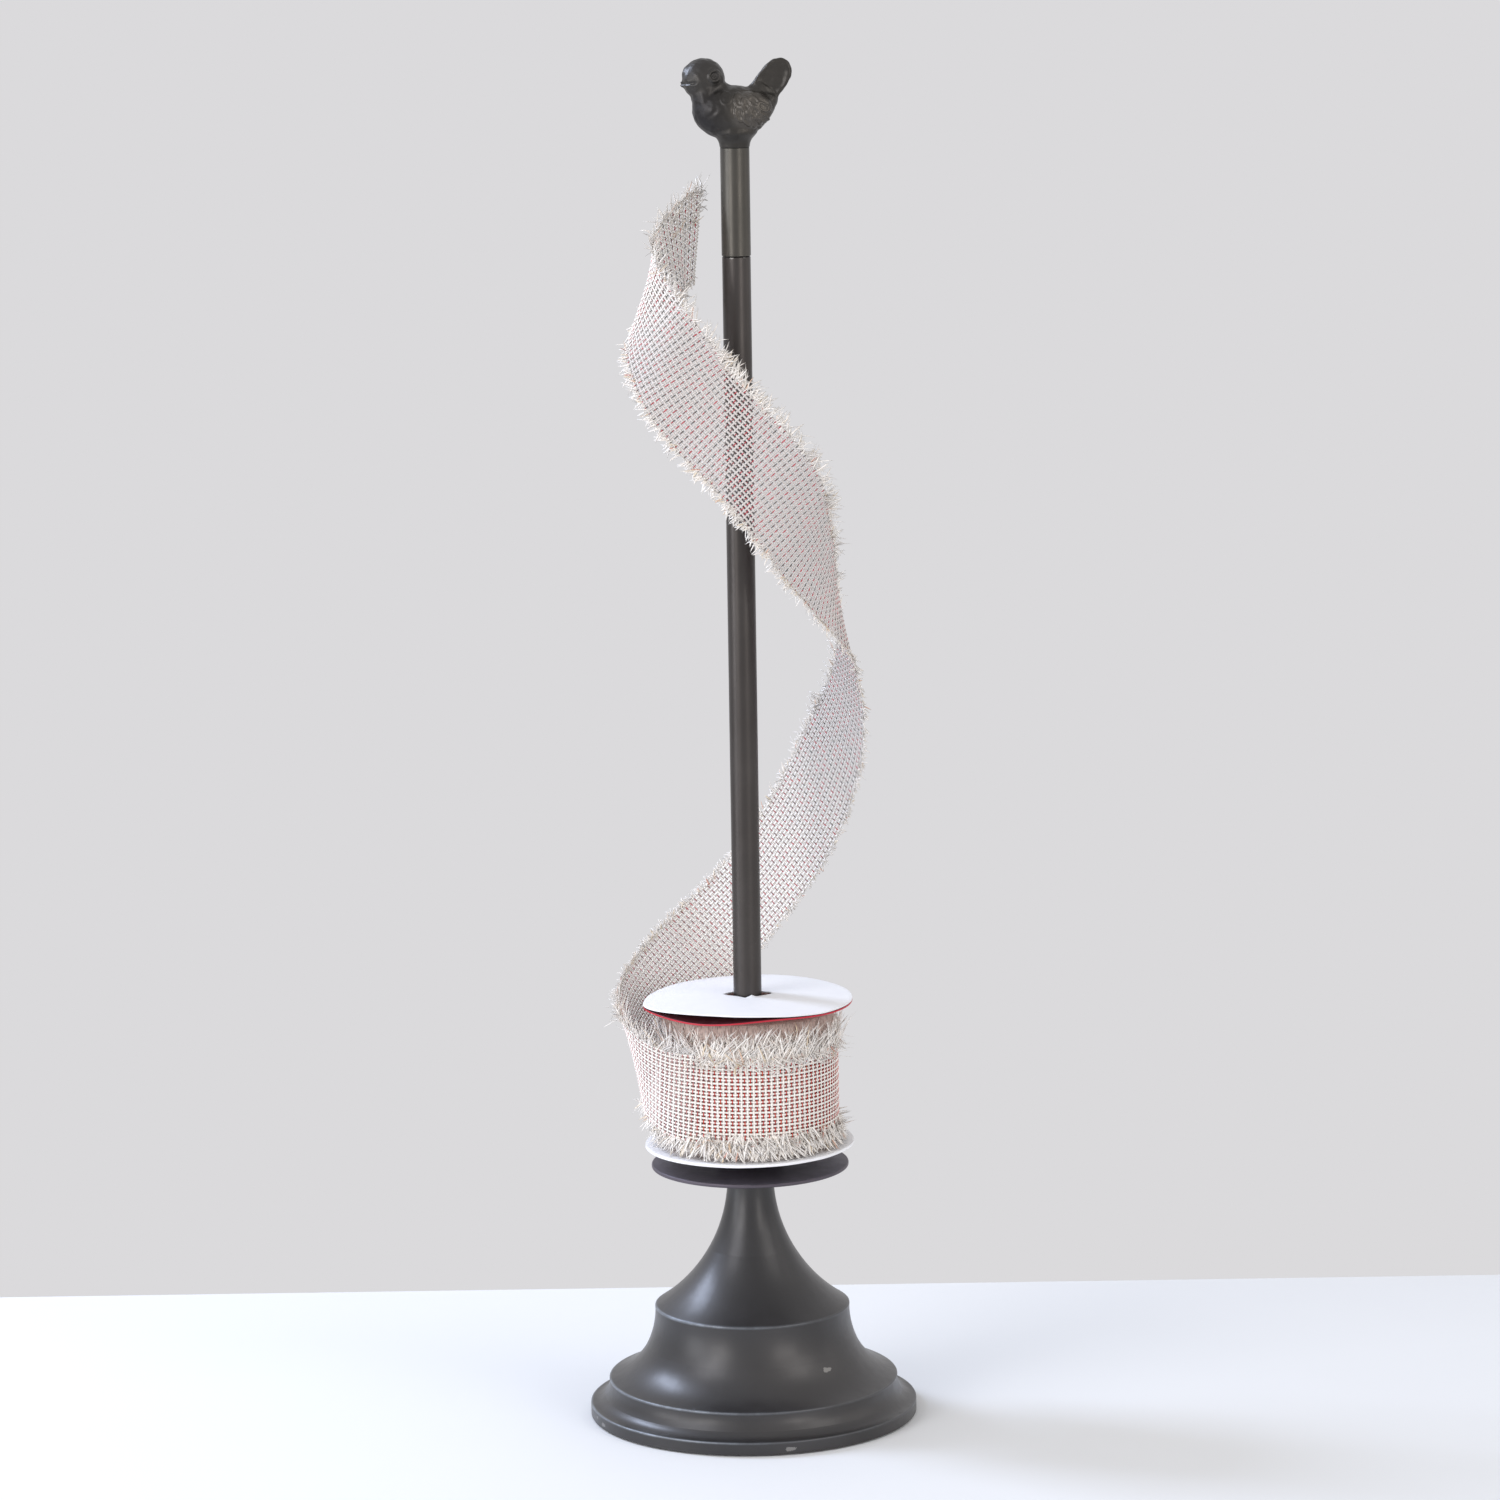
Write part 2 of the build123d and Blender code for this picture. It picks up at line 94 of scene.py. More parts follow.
def add_node(tree, kind, settings=None, sockets=None, out=0):
    """Adds a node, its settings first, then the values or links of its sockets."""
    node = tree.nodes.new(kind)
    for name, value in (settings or {}).items():
        if name == "stops":
            elements = node.color_ramp.elements
            while len(elements) < len(value):
                elements.new(0.5)
            for element, (place, colour) in zip(elements, value):
                element.position = place
                element.color = colour
        else:
            setattr(node, name, value)
    for key, value in (sockets or {}).items():
        plug(node.inputs[key], value)
    return Wire(node.outputs[out])


def vector_maths(operation, first, second=None, scale=None):
    """Vector Math on a Wire and a second vector or a scale."""
    given = {0: first, 1: second, 3: scale}
    sockets = {key: value for key, value in given.items() if value is not None}
    out = 1 if operation == "DISTANCE" else 0
    return add_node(first.socket.id_data, "ShaderNodeVectorMath", {"operation": operation}, sockets, out)


class Tree:
    """A node tree under construction."""

    def node(self, kind, settings=None, sockets=None, out=0):
        return add_node(self.tree, kind, settings, sockets, out)

    def axes(self, vector):
        return [self.node("ShaderNodeSeparateXYZ", None, {0: vector}, axis) for axis in range(3)]


class Finish(Tree):
    """A material under construction, with the few nodes that most finishes share."""

    def __init__(self, name):
        self.material = bpy.data.materials.new(name)
        self.material.use_nodes = True
        self.tree = self.material.node_tree
        self.shader = next(n for n in self.tree.nodes if n.type == "BSDF_PRINCIPLED")

    def object_place(self):
        return self.node("ShaderNodeTexCoord", out=3)

    def yarn_place(self):
        """The three numbers that the trees of the yarns store."""
        return self.node("ShaderNodeAttribute", {"attribute_name": "yarn_place"}, None, 1)

    def drawn_out(self, vector, factor):
        """The vector with its height times a factor."""
        return self.node("ShaderNodeMapping", None, {0: vector, 3: (1.0, 1.0, factor)})

    def noise(self, vector, scale, detail=3.0, roughness=0.55):
        return self.node("ShaderNodeTexNoise", None, {0: vector, 2: scale, 3: detail, 4: roughness})

    def mix(self, share, first, second):
        """First colour where share is 0, second where it is 1."""
        return self.node("ShaderNodeMix", {"data_type": "RGBA"}, {0: share, 6: first, 7: second}, 2)

    def tones(self, share, *stops):
        """The tone at a share, between stops of a place and an sRGB colour."""
        stops = [(place, rgb(*colour)) for place, *colour in stops]
        return self.node("ShaderNodeValToRGB", {"stops": stops}, {0: share})

    def bump(self, height, strength, distance):
        values = {"Strength": strength, "Distance": distance, "Height": height}
        return self.node("ShaderNodeBump", None, values)

    def set(self, **sockets):
        for name, value in sockets.items():
            plug(self.shader.inputs[name.replace("_", " ")], value)
        return self.material


def rgb(red, green, blue):
    """Linear colour of an sRGB one given as 0 to 255."""
    return tuple(
        value / 255 / 12.92 if value <= 10 else ((value / 255 + 0.055) / 1.055) ** 2.4
        for value in (red, green, blue)
    ) + (1.0,)


# Finishes


def graphite_paint(
    name, dark, light, rough, chips, worn_and_lit_rims, relief_share, metallic=0.6, coat=0.0, light_and_shade_patches=()
):
    """Satin charcoal metal paint: slight orange peel, a slow drift of tone and worn chips.
    chips are (middle, reach, raggedness): places in metres that have lost their paint;
    the rims are (radius, height) of turned edges with a thin pale line, partly wear and partly a painted
    highlight that fades from left to right;
    the patches are (middle, reach, tone, share): places of painted light and shade, lighter where the form is
    lit and darker where it is in shade."""
    finish = Finish(name)
    place = finish.object_place()
    drift = finish.noise(place, 16.0, 2.0)
    grain = finish.noise(place, 2100.0, 2.0)
    peel = finish.noise(place, 560.0, 3.0)
    scuff = finish.noise(place, 120.0, 5.0, 0.7)
    colour = finish.mix(drift.ramp(0.3, 0.7), dark, light)
    # Painted light and shade: patches of lighter or darker tone where the form is lit or in shade
    for middle, reach, tone, share in light_and_shade_patches:
        near = vector_maths("DISTANCE", place, middle).ramp(reach * 0.55, reach, share, 0.0)
        colour = finish.mix(near, colour, tone)
    x, y, z = finish.axes(place)
    away_from_axis = (x * x + y * y) ** 0.5
    # Each rim gets a thin bluish pale line: partly wear, from the scuff noise, and partly a painted
    # highlight, strongest on the left and fading to the right
    for radius, height in worn_and_lit_rims:
        side, rise = away_from_axis - radius, z - height
        distance = (side * side + rise * rise) ** 0.5
        rubbed_and_lit = distance.ramp(0.0003, 0.0012, 1.0, 0.0) * scuff.ramp(0.42, 0.66, 0.55, 1.0)
        colour = finish.mix(rubbed_and_lit * x.ramp(-0.045, 0.035, 0.58, 0.10), colour, rgb(160, 168, 178))
    lost = None
    flatter = 2.4  # how much wider than tall a chip is
    for middle, reach, ragged in chips:
        flat = vector_maths("MULTIPLY", place, (1.0, 1.0, flatter))
        away = vector_maths("DISTANCE", flat, (middle[0], middle[1], middle[2] * flatter))
        spot = (1.0 - away / reach) + (finish.noise(place, 420.0, 4.0, 0.65) - 0.5) * ragged
        spot = spot.ramp(0.30, 0.36)
        lost = spot if lost is None else lost.maths("MAXIMUM", spot)
    relief = peel * 0.35 + grain * 0.12
    if lost is not None:
        colour = finish.mix(lost, colour, rgb(126, 124, 122))
        relief = relief - lost * 0.7
    return finish.set(
        Base_Color=colour,
        Metallic=metallic,
        Roughness=scuff.ramp(0.35, 0.7, rough, rough + 0.09) + grain * 0.05 * relief_share,
        Coat_Weight=coat,
        Coat_Roughness=0.30,
        Normal=finish.bump(relief, 0.22 * relief_share, 0.0002),
    )


def card_board(name, tone, cut_tone, speckle, rough=0.62, faces=None):
    """Pressed card: a smooth face with a faint mottle and fibres. Where two face tones are given,
    the faces that look up take the first as painted shade and those that look down take the second."""
    finish = Finish(name)
    place = finish.object_place()
    mottle = finish.noise(place, 90.0, 4.0)
    fibres = finish.noise(finish.drawn_out(place, 6.0), 1400.0)
    colour = finish.mix(mottle.ramp(0.3, 0.75) * speckle, tone, cut_tone)
    if faces:
        upward = finish.axes(finish.node("ShaderNodeNewGeometry", out=1))[2]
        # Painted shade on the faces that look up: the shade in the gap under a card above
        colour = finish.mix(upward.maths("GREATER_THAN", 0.5), colour, faces[0])
        colour = finish.mix(upward.maths("LESS_THAN", -0.5), colour, faces[1])
    return finish.set(
        Base_Color=colour,
        Roughness=mottle.ramp(0.2, 0.8, rough - 0.06, rough + 0.06),
        Normal=finish.bump(fibres, 0.2, 0.0001),
    )


def white_yarn_finish():
    """Paper-white yarn of the ribbon, with a faint twist, some lengths blushed, and greyer where
    the free end turns out of the light."""
    finish = Finish("white_yarn")
    place = finish.yarn_place()
    run, yarn, pick = finish.axes(place)
    mottle = finish.noise(place, 1.7)
    blush = finish.noise(place, 0.6, 2.0)
    twist = (run * 11.0).maths("SINE") * 0.5 + 0.5
    colour = finish.mix(mottle.ramp(0.42, 0.75), rgb(255, 251, 244), rgb(244, 238, 232))
    colour = finish.mix(blush.ramp(0.45, 0.75) * 0.4, colour, rgb(246, 222, 218))
    # the number of the weft that is here, on warps and wefts alike
    number = run + (yarn - run) * (pick / weft_mark)
    greyed = number.ramp(175.0, 215.0, 0.0, 0.7) * number.ramp(284.0, 298.0, 1.0, 0.0)
    colour = finish.mix(greyed, colour, rgb(206, 199, 197))
    relief = finish.bump(twist * 0.5 + mottle * 0.5, 0.35, 0.00006)
    return finish.set(Base_Color=colour, Roughness=0.6, Normal=relief)


def coloured_yarn_finish(first_free):
    """Foil-wrapped thin weft. It shifts between red, brown and orange on the roll, where the turns
    behind it show, and between red, rose and graphite on the free end, which starts with the
    weft of the given number."""
    finish = Finish("coloured_yarn")
    place = finish.yarn_place()
    number = finish.axes(place)[1]
    shift = finish.noise(place, 0.42, 4.0, 0.75)
    wound = finish.tones(
        shift, (0.34, 120, 62, 58), (0.44, 200, 52, 42), (0.58, 220, 58, 38), (0.70, 216, 116, 62)
    )
    free = finish.tones(
        shift, (0.43, 92, 88, 85), (0.50, 122, 98, 97), (0.54, 196, 66, 80), (0.62, 206, 58, 70),
        (0.68, 140, 112, 112),
    )
    rose = finish.mix(number.ramp(first_free - 3.0, first_free + 3.0), wound, rgb(206, 146, 146))
    near, far = (
        number.ramp(first_free + low, first_free + high) for low, high in ((8.0, 26.0), (50.0, 90.0))
    )
    return finish.set(Base_Color=finish.mix(near * 0.5 + far * 0.5, rose, free), Roughness=0.42, Metallic=0.1)


def tinsel_finish():
    """Champagne and silver tinsel strands of the frayed edges, a few dark, golden or rose."""
    finish = Finish("tinsel")
    tone = finish.tones(
        finish.axes(finish.yarn_place())[1],
        (0.0, 132, 122, 116), (0.06, 238, 233, 229), (0.45, 255, 251, 246), (0.90, 254, 246, 238),
        (0.97, 238, 220, 192), (1.0, 226, 168, 154),
    )
    return finish.set(Base_Color=tone, Roughness=0.34)


def metal_wire_finish():
    finish = Finish("edge_wire")
    dull = finish.noise(finish.yarn_place(), 2.0)
    colour = finish.mix(dull.ramp(0.3, 0.7), rgb(214, 211, 207), rgb(238, 235, 231))
    return finish.set(Base_Color=colour, Roughness=0.42, Metallic=0.1)


def wound_core_finish(middle, half_width):
    """The ribbon's deeper turns, seen only through the outer ones: red and brown between pale
    yarns over the woven width, and packed tinsel above and below it, greyed as painted shade of the gaps
    between its strands."""
    finish = Finish("wound_layers")
    place = finish.object_place()
    blotch = finish.noise(place, 520.0, 4.0, 0.75)
    drift = finish.noise(place, 55.0)
    red = finish.mix(drift.ramp(0.35, 0.65), rgb(190, 48, 38), rgb(204, 92, 48))
    deep = finish.mix(blotch.ramp(0.42, 0.60), rgb(84, 38, 34), red)
    pale = finish.noise(place, 760.0, 3.0, 0.6)
    woven_tone = finish.mix(pale.ramp(0.60, 0.68), deep, rgb(208, 142, 116))
    strands = finish.noise(finish.drawn_out(place, 0.16), 2300.0, 3.0, 0.7)
    # Painted shade: the packed tinsel is darker and greyer than the loose strands, for the shaded gaps
    # between them
    shaded_tinsel_tone = finish.mix(strands.ramp(0.38, 0.54), rgb(158, 138, 130), rgb(220, 204, 194))
    off_middle = (finish.axes(place)[2] - middle).maths("ABSOLUTE")
    edge = (off_middle + (strands - 0.5) * 0.004).ramp(half_width - 0.0012, half_width + 0.0008)
    colour = finish.mix(edge, woven_tone, shaded_tinsel_tone)
    return finish.set(Base_Color=colour, Roughness=0.6, Normal=finish.bump(blotch + strands, 0.5, 0.0004))


def steel_finish(name, tone, rough):
    """Bright plated steel, streaked along its height."""
    finish = Finish(name)
    streak = finish.noise(finish.drawn_out(finish.object_place(), 14.0), 300.0)
    bright = tuple(min(1.0, value * 1.35) for value in tone[:3]) + (1.0,)
    return finish.set(
        Base_Color=finish.mix(streak.ramp(0.3, 0.7), tone, bright),
        Metallic=0.9,
        Roughness=streak.ramp(0.3, 0.7, rough - 0.06, rough + 0.08),
        Normal=finish.bump(streak, 0.15, 0.0001),
    )


def rough_finish(name, grain, dark, light, strength, **sockets):
    """One fine noise, of a scale, detail and roughness, gives both the tone and the relief."""
    finish = Finish(name)
    fine = finish.noise(finish.object_place(), *grain)
    colour = finish.mix(fine.ramp(0.35, 0.7), dark, light)
    return finish.set(Base_Color=colour, Normal=finish.bump(fine, strength, 0.0004), **sockets)


# Measures that come from the CAD nodes, and the ribbon's own
roll_low, roll_high = (corner.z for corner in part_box("ribbon_roll"))
roll_middle = (roll_low + roll_high) / 2 / MM
card_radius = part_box("top_flange_card")[1].x
top_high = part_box("top_flange_card")[1].z
bottom_low, bottom_high = (corner.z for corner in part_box("bottom_flange_card"))
backing_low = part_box("top_flange_backing")[0].z
sleeve_bottom, sleeve_top = (corner.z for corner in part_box("finial_sleeve"))
bird_middle = sleeve_top + 16.9 * MM  # height of the middle of its body
cloth_width = 41.0
wound_drop = 4.0  # how far the wound cloth's middle lies below the roll's
weft_mark = 5.0  # third number of yarn_place on a weft, 0 on a warp

# Places of worn paint, of painted highlight on the rims and of painted light and shade on the bird, and the
# finishes of all pieces
base_chips = (
    ((0.0333, -0.0373, 0.0290), 0.0034, 2.0),
    ((0.0161, -0.0727, 0.0030), 0.0030, 2.0),
    ((0.0649, -0.0114, 0.0165), 0.0012, 1.0),
    ((-0.0684, -0.0294, 0.0028), 0.0030, 1.8),
    ((-0.0712, -0.0220, 0.0040), 0.0018, 1.6),
    ((-0.0300, 0.0590, 0.0172), 0.0016, 1.2),
    ((0.0420, 0.0612, 0.0058), 0.0022, 1.6),
)
# Turned rims that carry a pale line, partly wear and partly painted highlight
base_rims_worn_and_lit = ((0.0444, 0.0510), (0.0659, 0.0175), (0.0745, 0.0064))
joint_chips = (
    ((-0.0022, -0.0060, sleeve_bottom - 0.0006), 0.0013, 1.2),
    ((0.0035, -0.0053, sleeve_bottom - 0.0004), 0.0011, 1.2),
    ((0.0060, 0.0022, sleeve_bottom - 0.0005), 0.0016, 1.2),
    ((-0.0040, 0.0050, sleeve_bottom - 0.0006), 0.0015, 1.2),
)
# Painted light and shade on the bird: a darker breast in shade, a lighter head and lighter lit wings
bird_painted_light_and_shade = (
    ((-0.0110, 0.0, bird_middle - 0.0010), 0.0150, rgb(32, 30, 33), 0.8),
    ((-0.0125, 0.0, bird_middle + 0.0150), 0.0120, rgb(70, 68, 67), 0.6),
    ((0.0070, 0.0090, bird_middle), 0.0115, rgb(91, 86, 80), 0.75),
    ((0.0070, -0.0090, bird_middle), 0.0115, rgb(91, 86, 80), 0.75),
)
base_paint, post_paint, sleeve_paint, plate_paint, bird_paint = (
    graphite_paint("graphite_" + name, rgb(*dark), rgb(*light), *more)
    for name, dark, light, *more in (
        ("base", (52, 51, 52), (64, 62, 62), 0.40, base_chips, base_rims_worn_and_lit, 0.7, 0.6, 0.45),
        ("post", (69, 65, 63), (79, 75, 73), 0.29, joint_chips, (), 0.5, 0.8),
        ("sleeve", (75, 73, 69), (86, 83, 78), 0.30, (), (), 0.5, 0.8),
        ("plate", (84, 78, 86), (96, 90, 98), 0.42, (), (), 0.7),
        ("bird", (50, 48, 46), (64, 61, 57), 0.34, (), (), 0.05, 0.6, 0.0, bird_painted_light_and_shade),
    )
)
white_card = card_board("white_card", rgb(246, 246, 249), rgb(237, 237, 242), 0.35)
# The red card's upper face in painted shade, dark maroon, for the shade under the white card; its underside a
# paler brownish red
red_shade_and_underside = (rgb(74, 16, 26), rgb(178, 108, 102))
red_card = card_board("red_card", rgb(196, 24, 50), rgb(168, 16, 40), 0.7, 0.45, red_shade_and_underside)
kraft = card_board("kraft_board", rgb(176, 146, 112), rgb(150, 120, 90), 0.8, 0.75)
white_yarn = white_yarn_finish()
coloured_yarn = coloured_yarn_finish(111.0)
tinsel = tinsel_finish()
edge_wire = metal_wire_finish()
wound_layers = wound_core_finish((roll_middle - wound_drop) * MM, cloth_width / 2 * MM)
zinc = steel_finish("zinc_steel", rgb(168, 170, 172), 0.34)
cast_iron = rough_finish(
    "cast_iron", (700.0, 5.0, 0.7), rgb(54, 54, 56), rgb(84, 82, 80), 0.6, Metallic=0.5, Roughness=0.72
)
felt = rough_finish(
    "felt", (1300.0, 6.0, 0.75), rgb(58, 58, 62), rgb(96, 96, 100), 0.8, Roughness=0.95, Sheen_Weight=0.3
)

steel_nodes = ("tie_washer", "lock_washer", "tie_nut", "tie_rod", "lower_plug", "upper_plug", "sleeve_plug")
node_finishes = {
    "base_shell": base_paint, "spool_plate": plate_paint, "post_collar": plate_paint, "post_tube": post_paint,
    "finial_sleeve": sleeve_paint, "ballast": cast_iron, "felt_pad": felt, "spool_core": kraft,
    **dict.fromkeys(steel_nodes, zinc),
}
for node_name, material in node_finishes.items():
    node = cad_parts[node_name]
    if not node.material_slots:
        node.data.materials.append(material)
    for material_slot in node.material_slots:
        material_slot.material = material


# Mesh kit


def linked(name, data):
    """A new object in the scene."""
    made = bpy.data.objects.new(name, data)
    bpy.context.scene.collection.objects.link(made)
    return made


def plain_mesh(name, points, faces):
    mesh = bpy.data.meshes.new(name)
    mesh.from_pydata([tuple(point) for point in points], [], faces)
    return mesh


def new_piece(name, points, faces, material, body, slot):
    """A smooth finished piece from points in metres, riding on its body, with its finish. slot is not used.
    """
    mesh = plain_mesh(name, points, faces)
    mesh.validate()
    work = bmesh.new()
    work.from_mesh(mesh)
    bmesh.ops.remove_doubles(work, verts=work.verts, dist=1e-7)
    bmesh.ops.recalc_face_normals(work, faces=work.faces)
    work.to_mesh(mesh)
    work.free()
    mesh.shade_smooth()
    mesh.materials.append(material)
    piece = linked(name, mesh)
    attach(piece, body)
    return piece


def evaluated_mesh(piece):
    """The piece's mesh with its modifiers in it."""
    return bpy.data.meshes.new_from_object(piece.evaluated_get(bpy.context.evaluated_depsgraph_get()))


def circle(around):
    """The angles of so many points on a circle."""
    return [2 * math.pi * k / around for k in range(around)]


def about_axis(radius, turn, height):
    """The point at a radius and turn about the post's axis."""
    return radius * math.cos(turn), radius * math.sin(turn), height


def waves(x, y, z):
    """Smooth noise from about -1 to 1."""
    return noise.noise(Vector((x, y, z)))


def grid_faces(rows, columns, rows_close=False, columns_close=True):
    """The faces of a grid of points, given row after row. Either way it can close on itself."""
    corners = ((0, 0), (0, 1), (1, 1), (1, 0))
    return [
        tuple((row + down) % rows * columns + (column + along) % columns for down, along in corners)
        for row in range(rows if rows_close else rows - 1)
        for column in range(columns if columns_close else columns - 1)
    ]


def tube(rows):
    """Points and faces of a tube through closed rows of points, with a face over each end."""
    around = len(rows[0])
    last = (len(rows) - 1) * around
    ends = [tuple(reversed(range(around))), tuple(range(last, last + around))]
    return [point for row in rows for point in row], grid_faces(len(rows), around) + ends


# Ribbon: the line that its middle follows, in mm, over the roll's outer turns and the free end
roll_end_radius = 40.9
layer_pitch = 0.95
shown_turns = 1.2
weft_pitch = 2.75
warp_count = 25
spare = 6.0  # straight cloth past both ends
line_step = 1.25
softening = 4  # steps on either side that each place is averaged over
wound_rows, free_rows = 600, 1500
turned_over = (17.0, 20.0)  # stations between which the free end is turned over
tail_stations = (  # turn from the left, radius, height over the roll's middle, lag and lean
    (-58, roll_end_radius, -wound_drop, 0, 0), (-34, 46, -2.0, 7, 6), (-7, 51, 4.5, 16, 9),
    (26, 55.5, 17.5, 26, 15), (60, 58.5, 39, 39, 23), (90, 57.5, 69, 51, 31), (114, 54.5, 100, 59, 12),
    (137, 51, 134, 63, 0), (160, 50, 169, 68, -2), (177, 47, 200, 73, -3), (190, 43, 215, 67, -4),
    (218, 38.5, 241, 57, -2), (249, 41, 272, 52, 6), (285, 45, 302, 47, -11), (301, 45.4, 317, 48, -21),
    (314, 46.5, 332, 52, -16), (328, 46, 345, 51, -8), (344, 43, 355, 45, -4), (358, 37, 363, 34, -4),
    (369, 27.4, 371, 15, -4), (379, 23, 377, 0, -4), (389, 17.2, 381, -5, -4),
)


def eased(values, place):
    """A value of a smooth curve through the values, at a place counted in stations."""
    last = len(values) - 1
    number = min(int(place), last - 1)
    part = place - number
    before, after = values[number], values[number + 1]
    rise_before = (after - values[max(number - 1, 0)]) / (2 if number else 1)
    rise_after = (values[min(number + 2, last)] - before) / (2 if number + 1 < last else 1)
    return (
        before * (2 * part**3 - 3 * part**2 + 1)
        + rise_before * (part**3 - 2 * part**2 + part)
        + after * (3 * part**2 - 2 * part**3)
        + rise_after * (part**3 - part**2)
    )


def ribbon_stations():
    """Fine stations of the whole line: rows of turn, radius, height, lag, lean and how far the
    wefts are pulled out of square, which they are where the end is turned over."""
    wound = [
        (
            tail_stations[0][0] - 360 * shown_turns * (1 - share),
            roll_end_radius - layer_pitch * shown_turns * (1 - share),
            *(-wound_drop, 0, 0, 0),
        )
        for share in np.linspace(0, 1, wound_rows, endpoint=False)
    ]
    columns = list(zip(*tail_stations))
    free = [
        (*(eased(column, place) for column in columns), float(np.interp(place, turned_over, (0.0, 1.0))))
        for place in np.linspace(0, len(tail_stations) - 1, free_rows)
    ]
    return np.array(wound + free), len(wound)


def softened(rows, width):
    """Rows averaged over a window, with both ends held."""
    padded = np.vstack([np.repeat(rows[:1], width, 0), rows, np.repeat(rows[-1:], width, 0)])
    kernel = np.hanning(2 * width + 1)
    kernel /= kernel.sum()
    return np.stack([np.convolve(column, kernel, "valid") for column in padded.T], 1)


def unit(rows):
    """Rows of vectors, each of length 1."""
    return rows / np.linalg.norm(rows, axis=1)[:, None]


def ribbon_line():
    """Middle, weft direction, run direction and outward direction along the ribbon, in mm, at
    even steps of its length, and the length at which the free end leaves the roll."""
    rows, joint = ribbon_stations()
    turn, lag, lean = (np.radians(rows[:, k]) for k in (0, 3, 4))
    zero = np.zeros_like(turn)
    out = np.stack([-np.cos(turn), np.sin(turn), zero], 1)
    forward = np.stack([np.sin(turn), np.cos(turn), zero], 1)
    up = np.array([0.0, 0.0, 1.0])
    middle = out * rows[:, 1:2] + up * (roll_middle + rows[:, 2:3])
    weft = (up * np.cos(lag)[:, None] - forward * np.sin(lag)[:, None]) * np.cos(lean)[:, None]
    weft = weft + out * np.sin(lean)[:, None]
    length = np.concatenate([[0], np.cumsum(np.linalg.norm(np.diff(middle, axis=0), axis=1))])
    even = np.arange(0, length[-1], line_step)
    middle, weft = (
        softened(np.stack([np.interp(even, length, column) for column in way.T], 1), softening)
        for way in (middle, weft)
    )
    square = 1 - np.interp(even, length, rows[:, 5])[:, None]
    run = unit(np.gradient(middle, axis=0))
    weft = unit(weft - run * np.sum(run * weft, 1)[:, None] * square)
    outward = unit(np.cross(weft, run))
    # straight spare lengths past both ends, so that yarns and wires can run over them
    steps = int(spare / line_step)
    before = np.arange(-steps, 0)[:, None] * line_step
    after = np.arange(1, steps + 1)[:, None] * line_step
    middle = np.vstack([middle[0] + run[0] * before, middle, middle[-1] + run[-1] * after])
    even = np.concatenate([even[0] + before[:, 0], even, even[-1] + after[:, 0]])
    weft, run, outward = (
        np.vstack([np.repeat(way[:1], steps, 0), way, np.repeat(way[-1:], steps, 0)])
        for way in (weft, run, outward)
    )
    return even, middle, weft, run, outward, length[joint]


line_length, line_middle, line_weft, line_run, line_out, roll_length = ribbon_line()
whole_length = line_length[-1] - spare + 1.0
cloth_columns = 15
surface_excess = 1.06  # width of the guiding surface over the cloth's own


def cloth_surface(name, begin, end):
    """The cloth's own surface between two lengths, with what the yarns need to know of it: a UV
    map of place across and along, and its three directions. It guides them and isn't shown."""
    rows = [k for k in range(len(line_length)) if begin - spare <= line_length[k] <= end + spare]
    points, uvs, ways = [], [], []
    for k in rows:
        # 0 on the roll, rising to 1 where the free end is well away from it
        free = max(0.0, min(1.0, (line_length[k] - roll_length - 10) / 60))
        for column in range(cloth_columns + 1):
            share = 0.5 + (column / cloth_columns - 0.5) * surface_excess
            across = (share - 0.5) * cloth_width
            ripple = waves(line_length[k] / 17, share * 1.1, 4.2) * 0.9
            edge = abs(2 * share - 1) ** 2.5
            flutter = waves(line_length[k] / 9, 9.0 if share > 0.5 else 0.0, 1.3) * 0.9
            lift = free * (ripple * 0.5 + edge * flutter)
            points.append((line_middle[k] + line_weft[k] * across + line_out[k] * lift) * MM)
            uvs.append((share, (line_length[k] - begin) / (end - begin)))
            ways.append((line_weft[k], line_run[k], line_out[k]))
    mesh = plain_mesh(name, points, grid_faces(len(rows), cloth_columns + 1, columns_close=False))
    uv_map = mesh.uv_layers.new(name="UVMap")
    for loop in mesh.loops:
        uv_map.data[loop.index].uv = uvs[loop.vertex_index]
    for way, vectors in zip(("weft_way", "run_way", "out_way"), zip(*ways)):
        stored = mesh.attributes.new(way, "FLOAT_VECTOR", "POINT")
        stored.data.foreach_set("vector", np.array(vectors).ravel())
    return linked(name, mesh)


# Geometry Nodes trees for the yarns and the fringe


whole_numbers = ("Yarns", "Rings", "Strands", "Seed")
tube_sides = 3


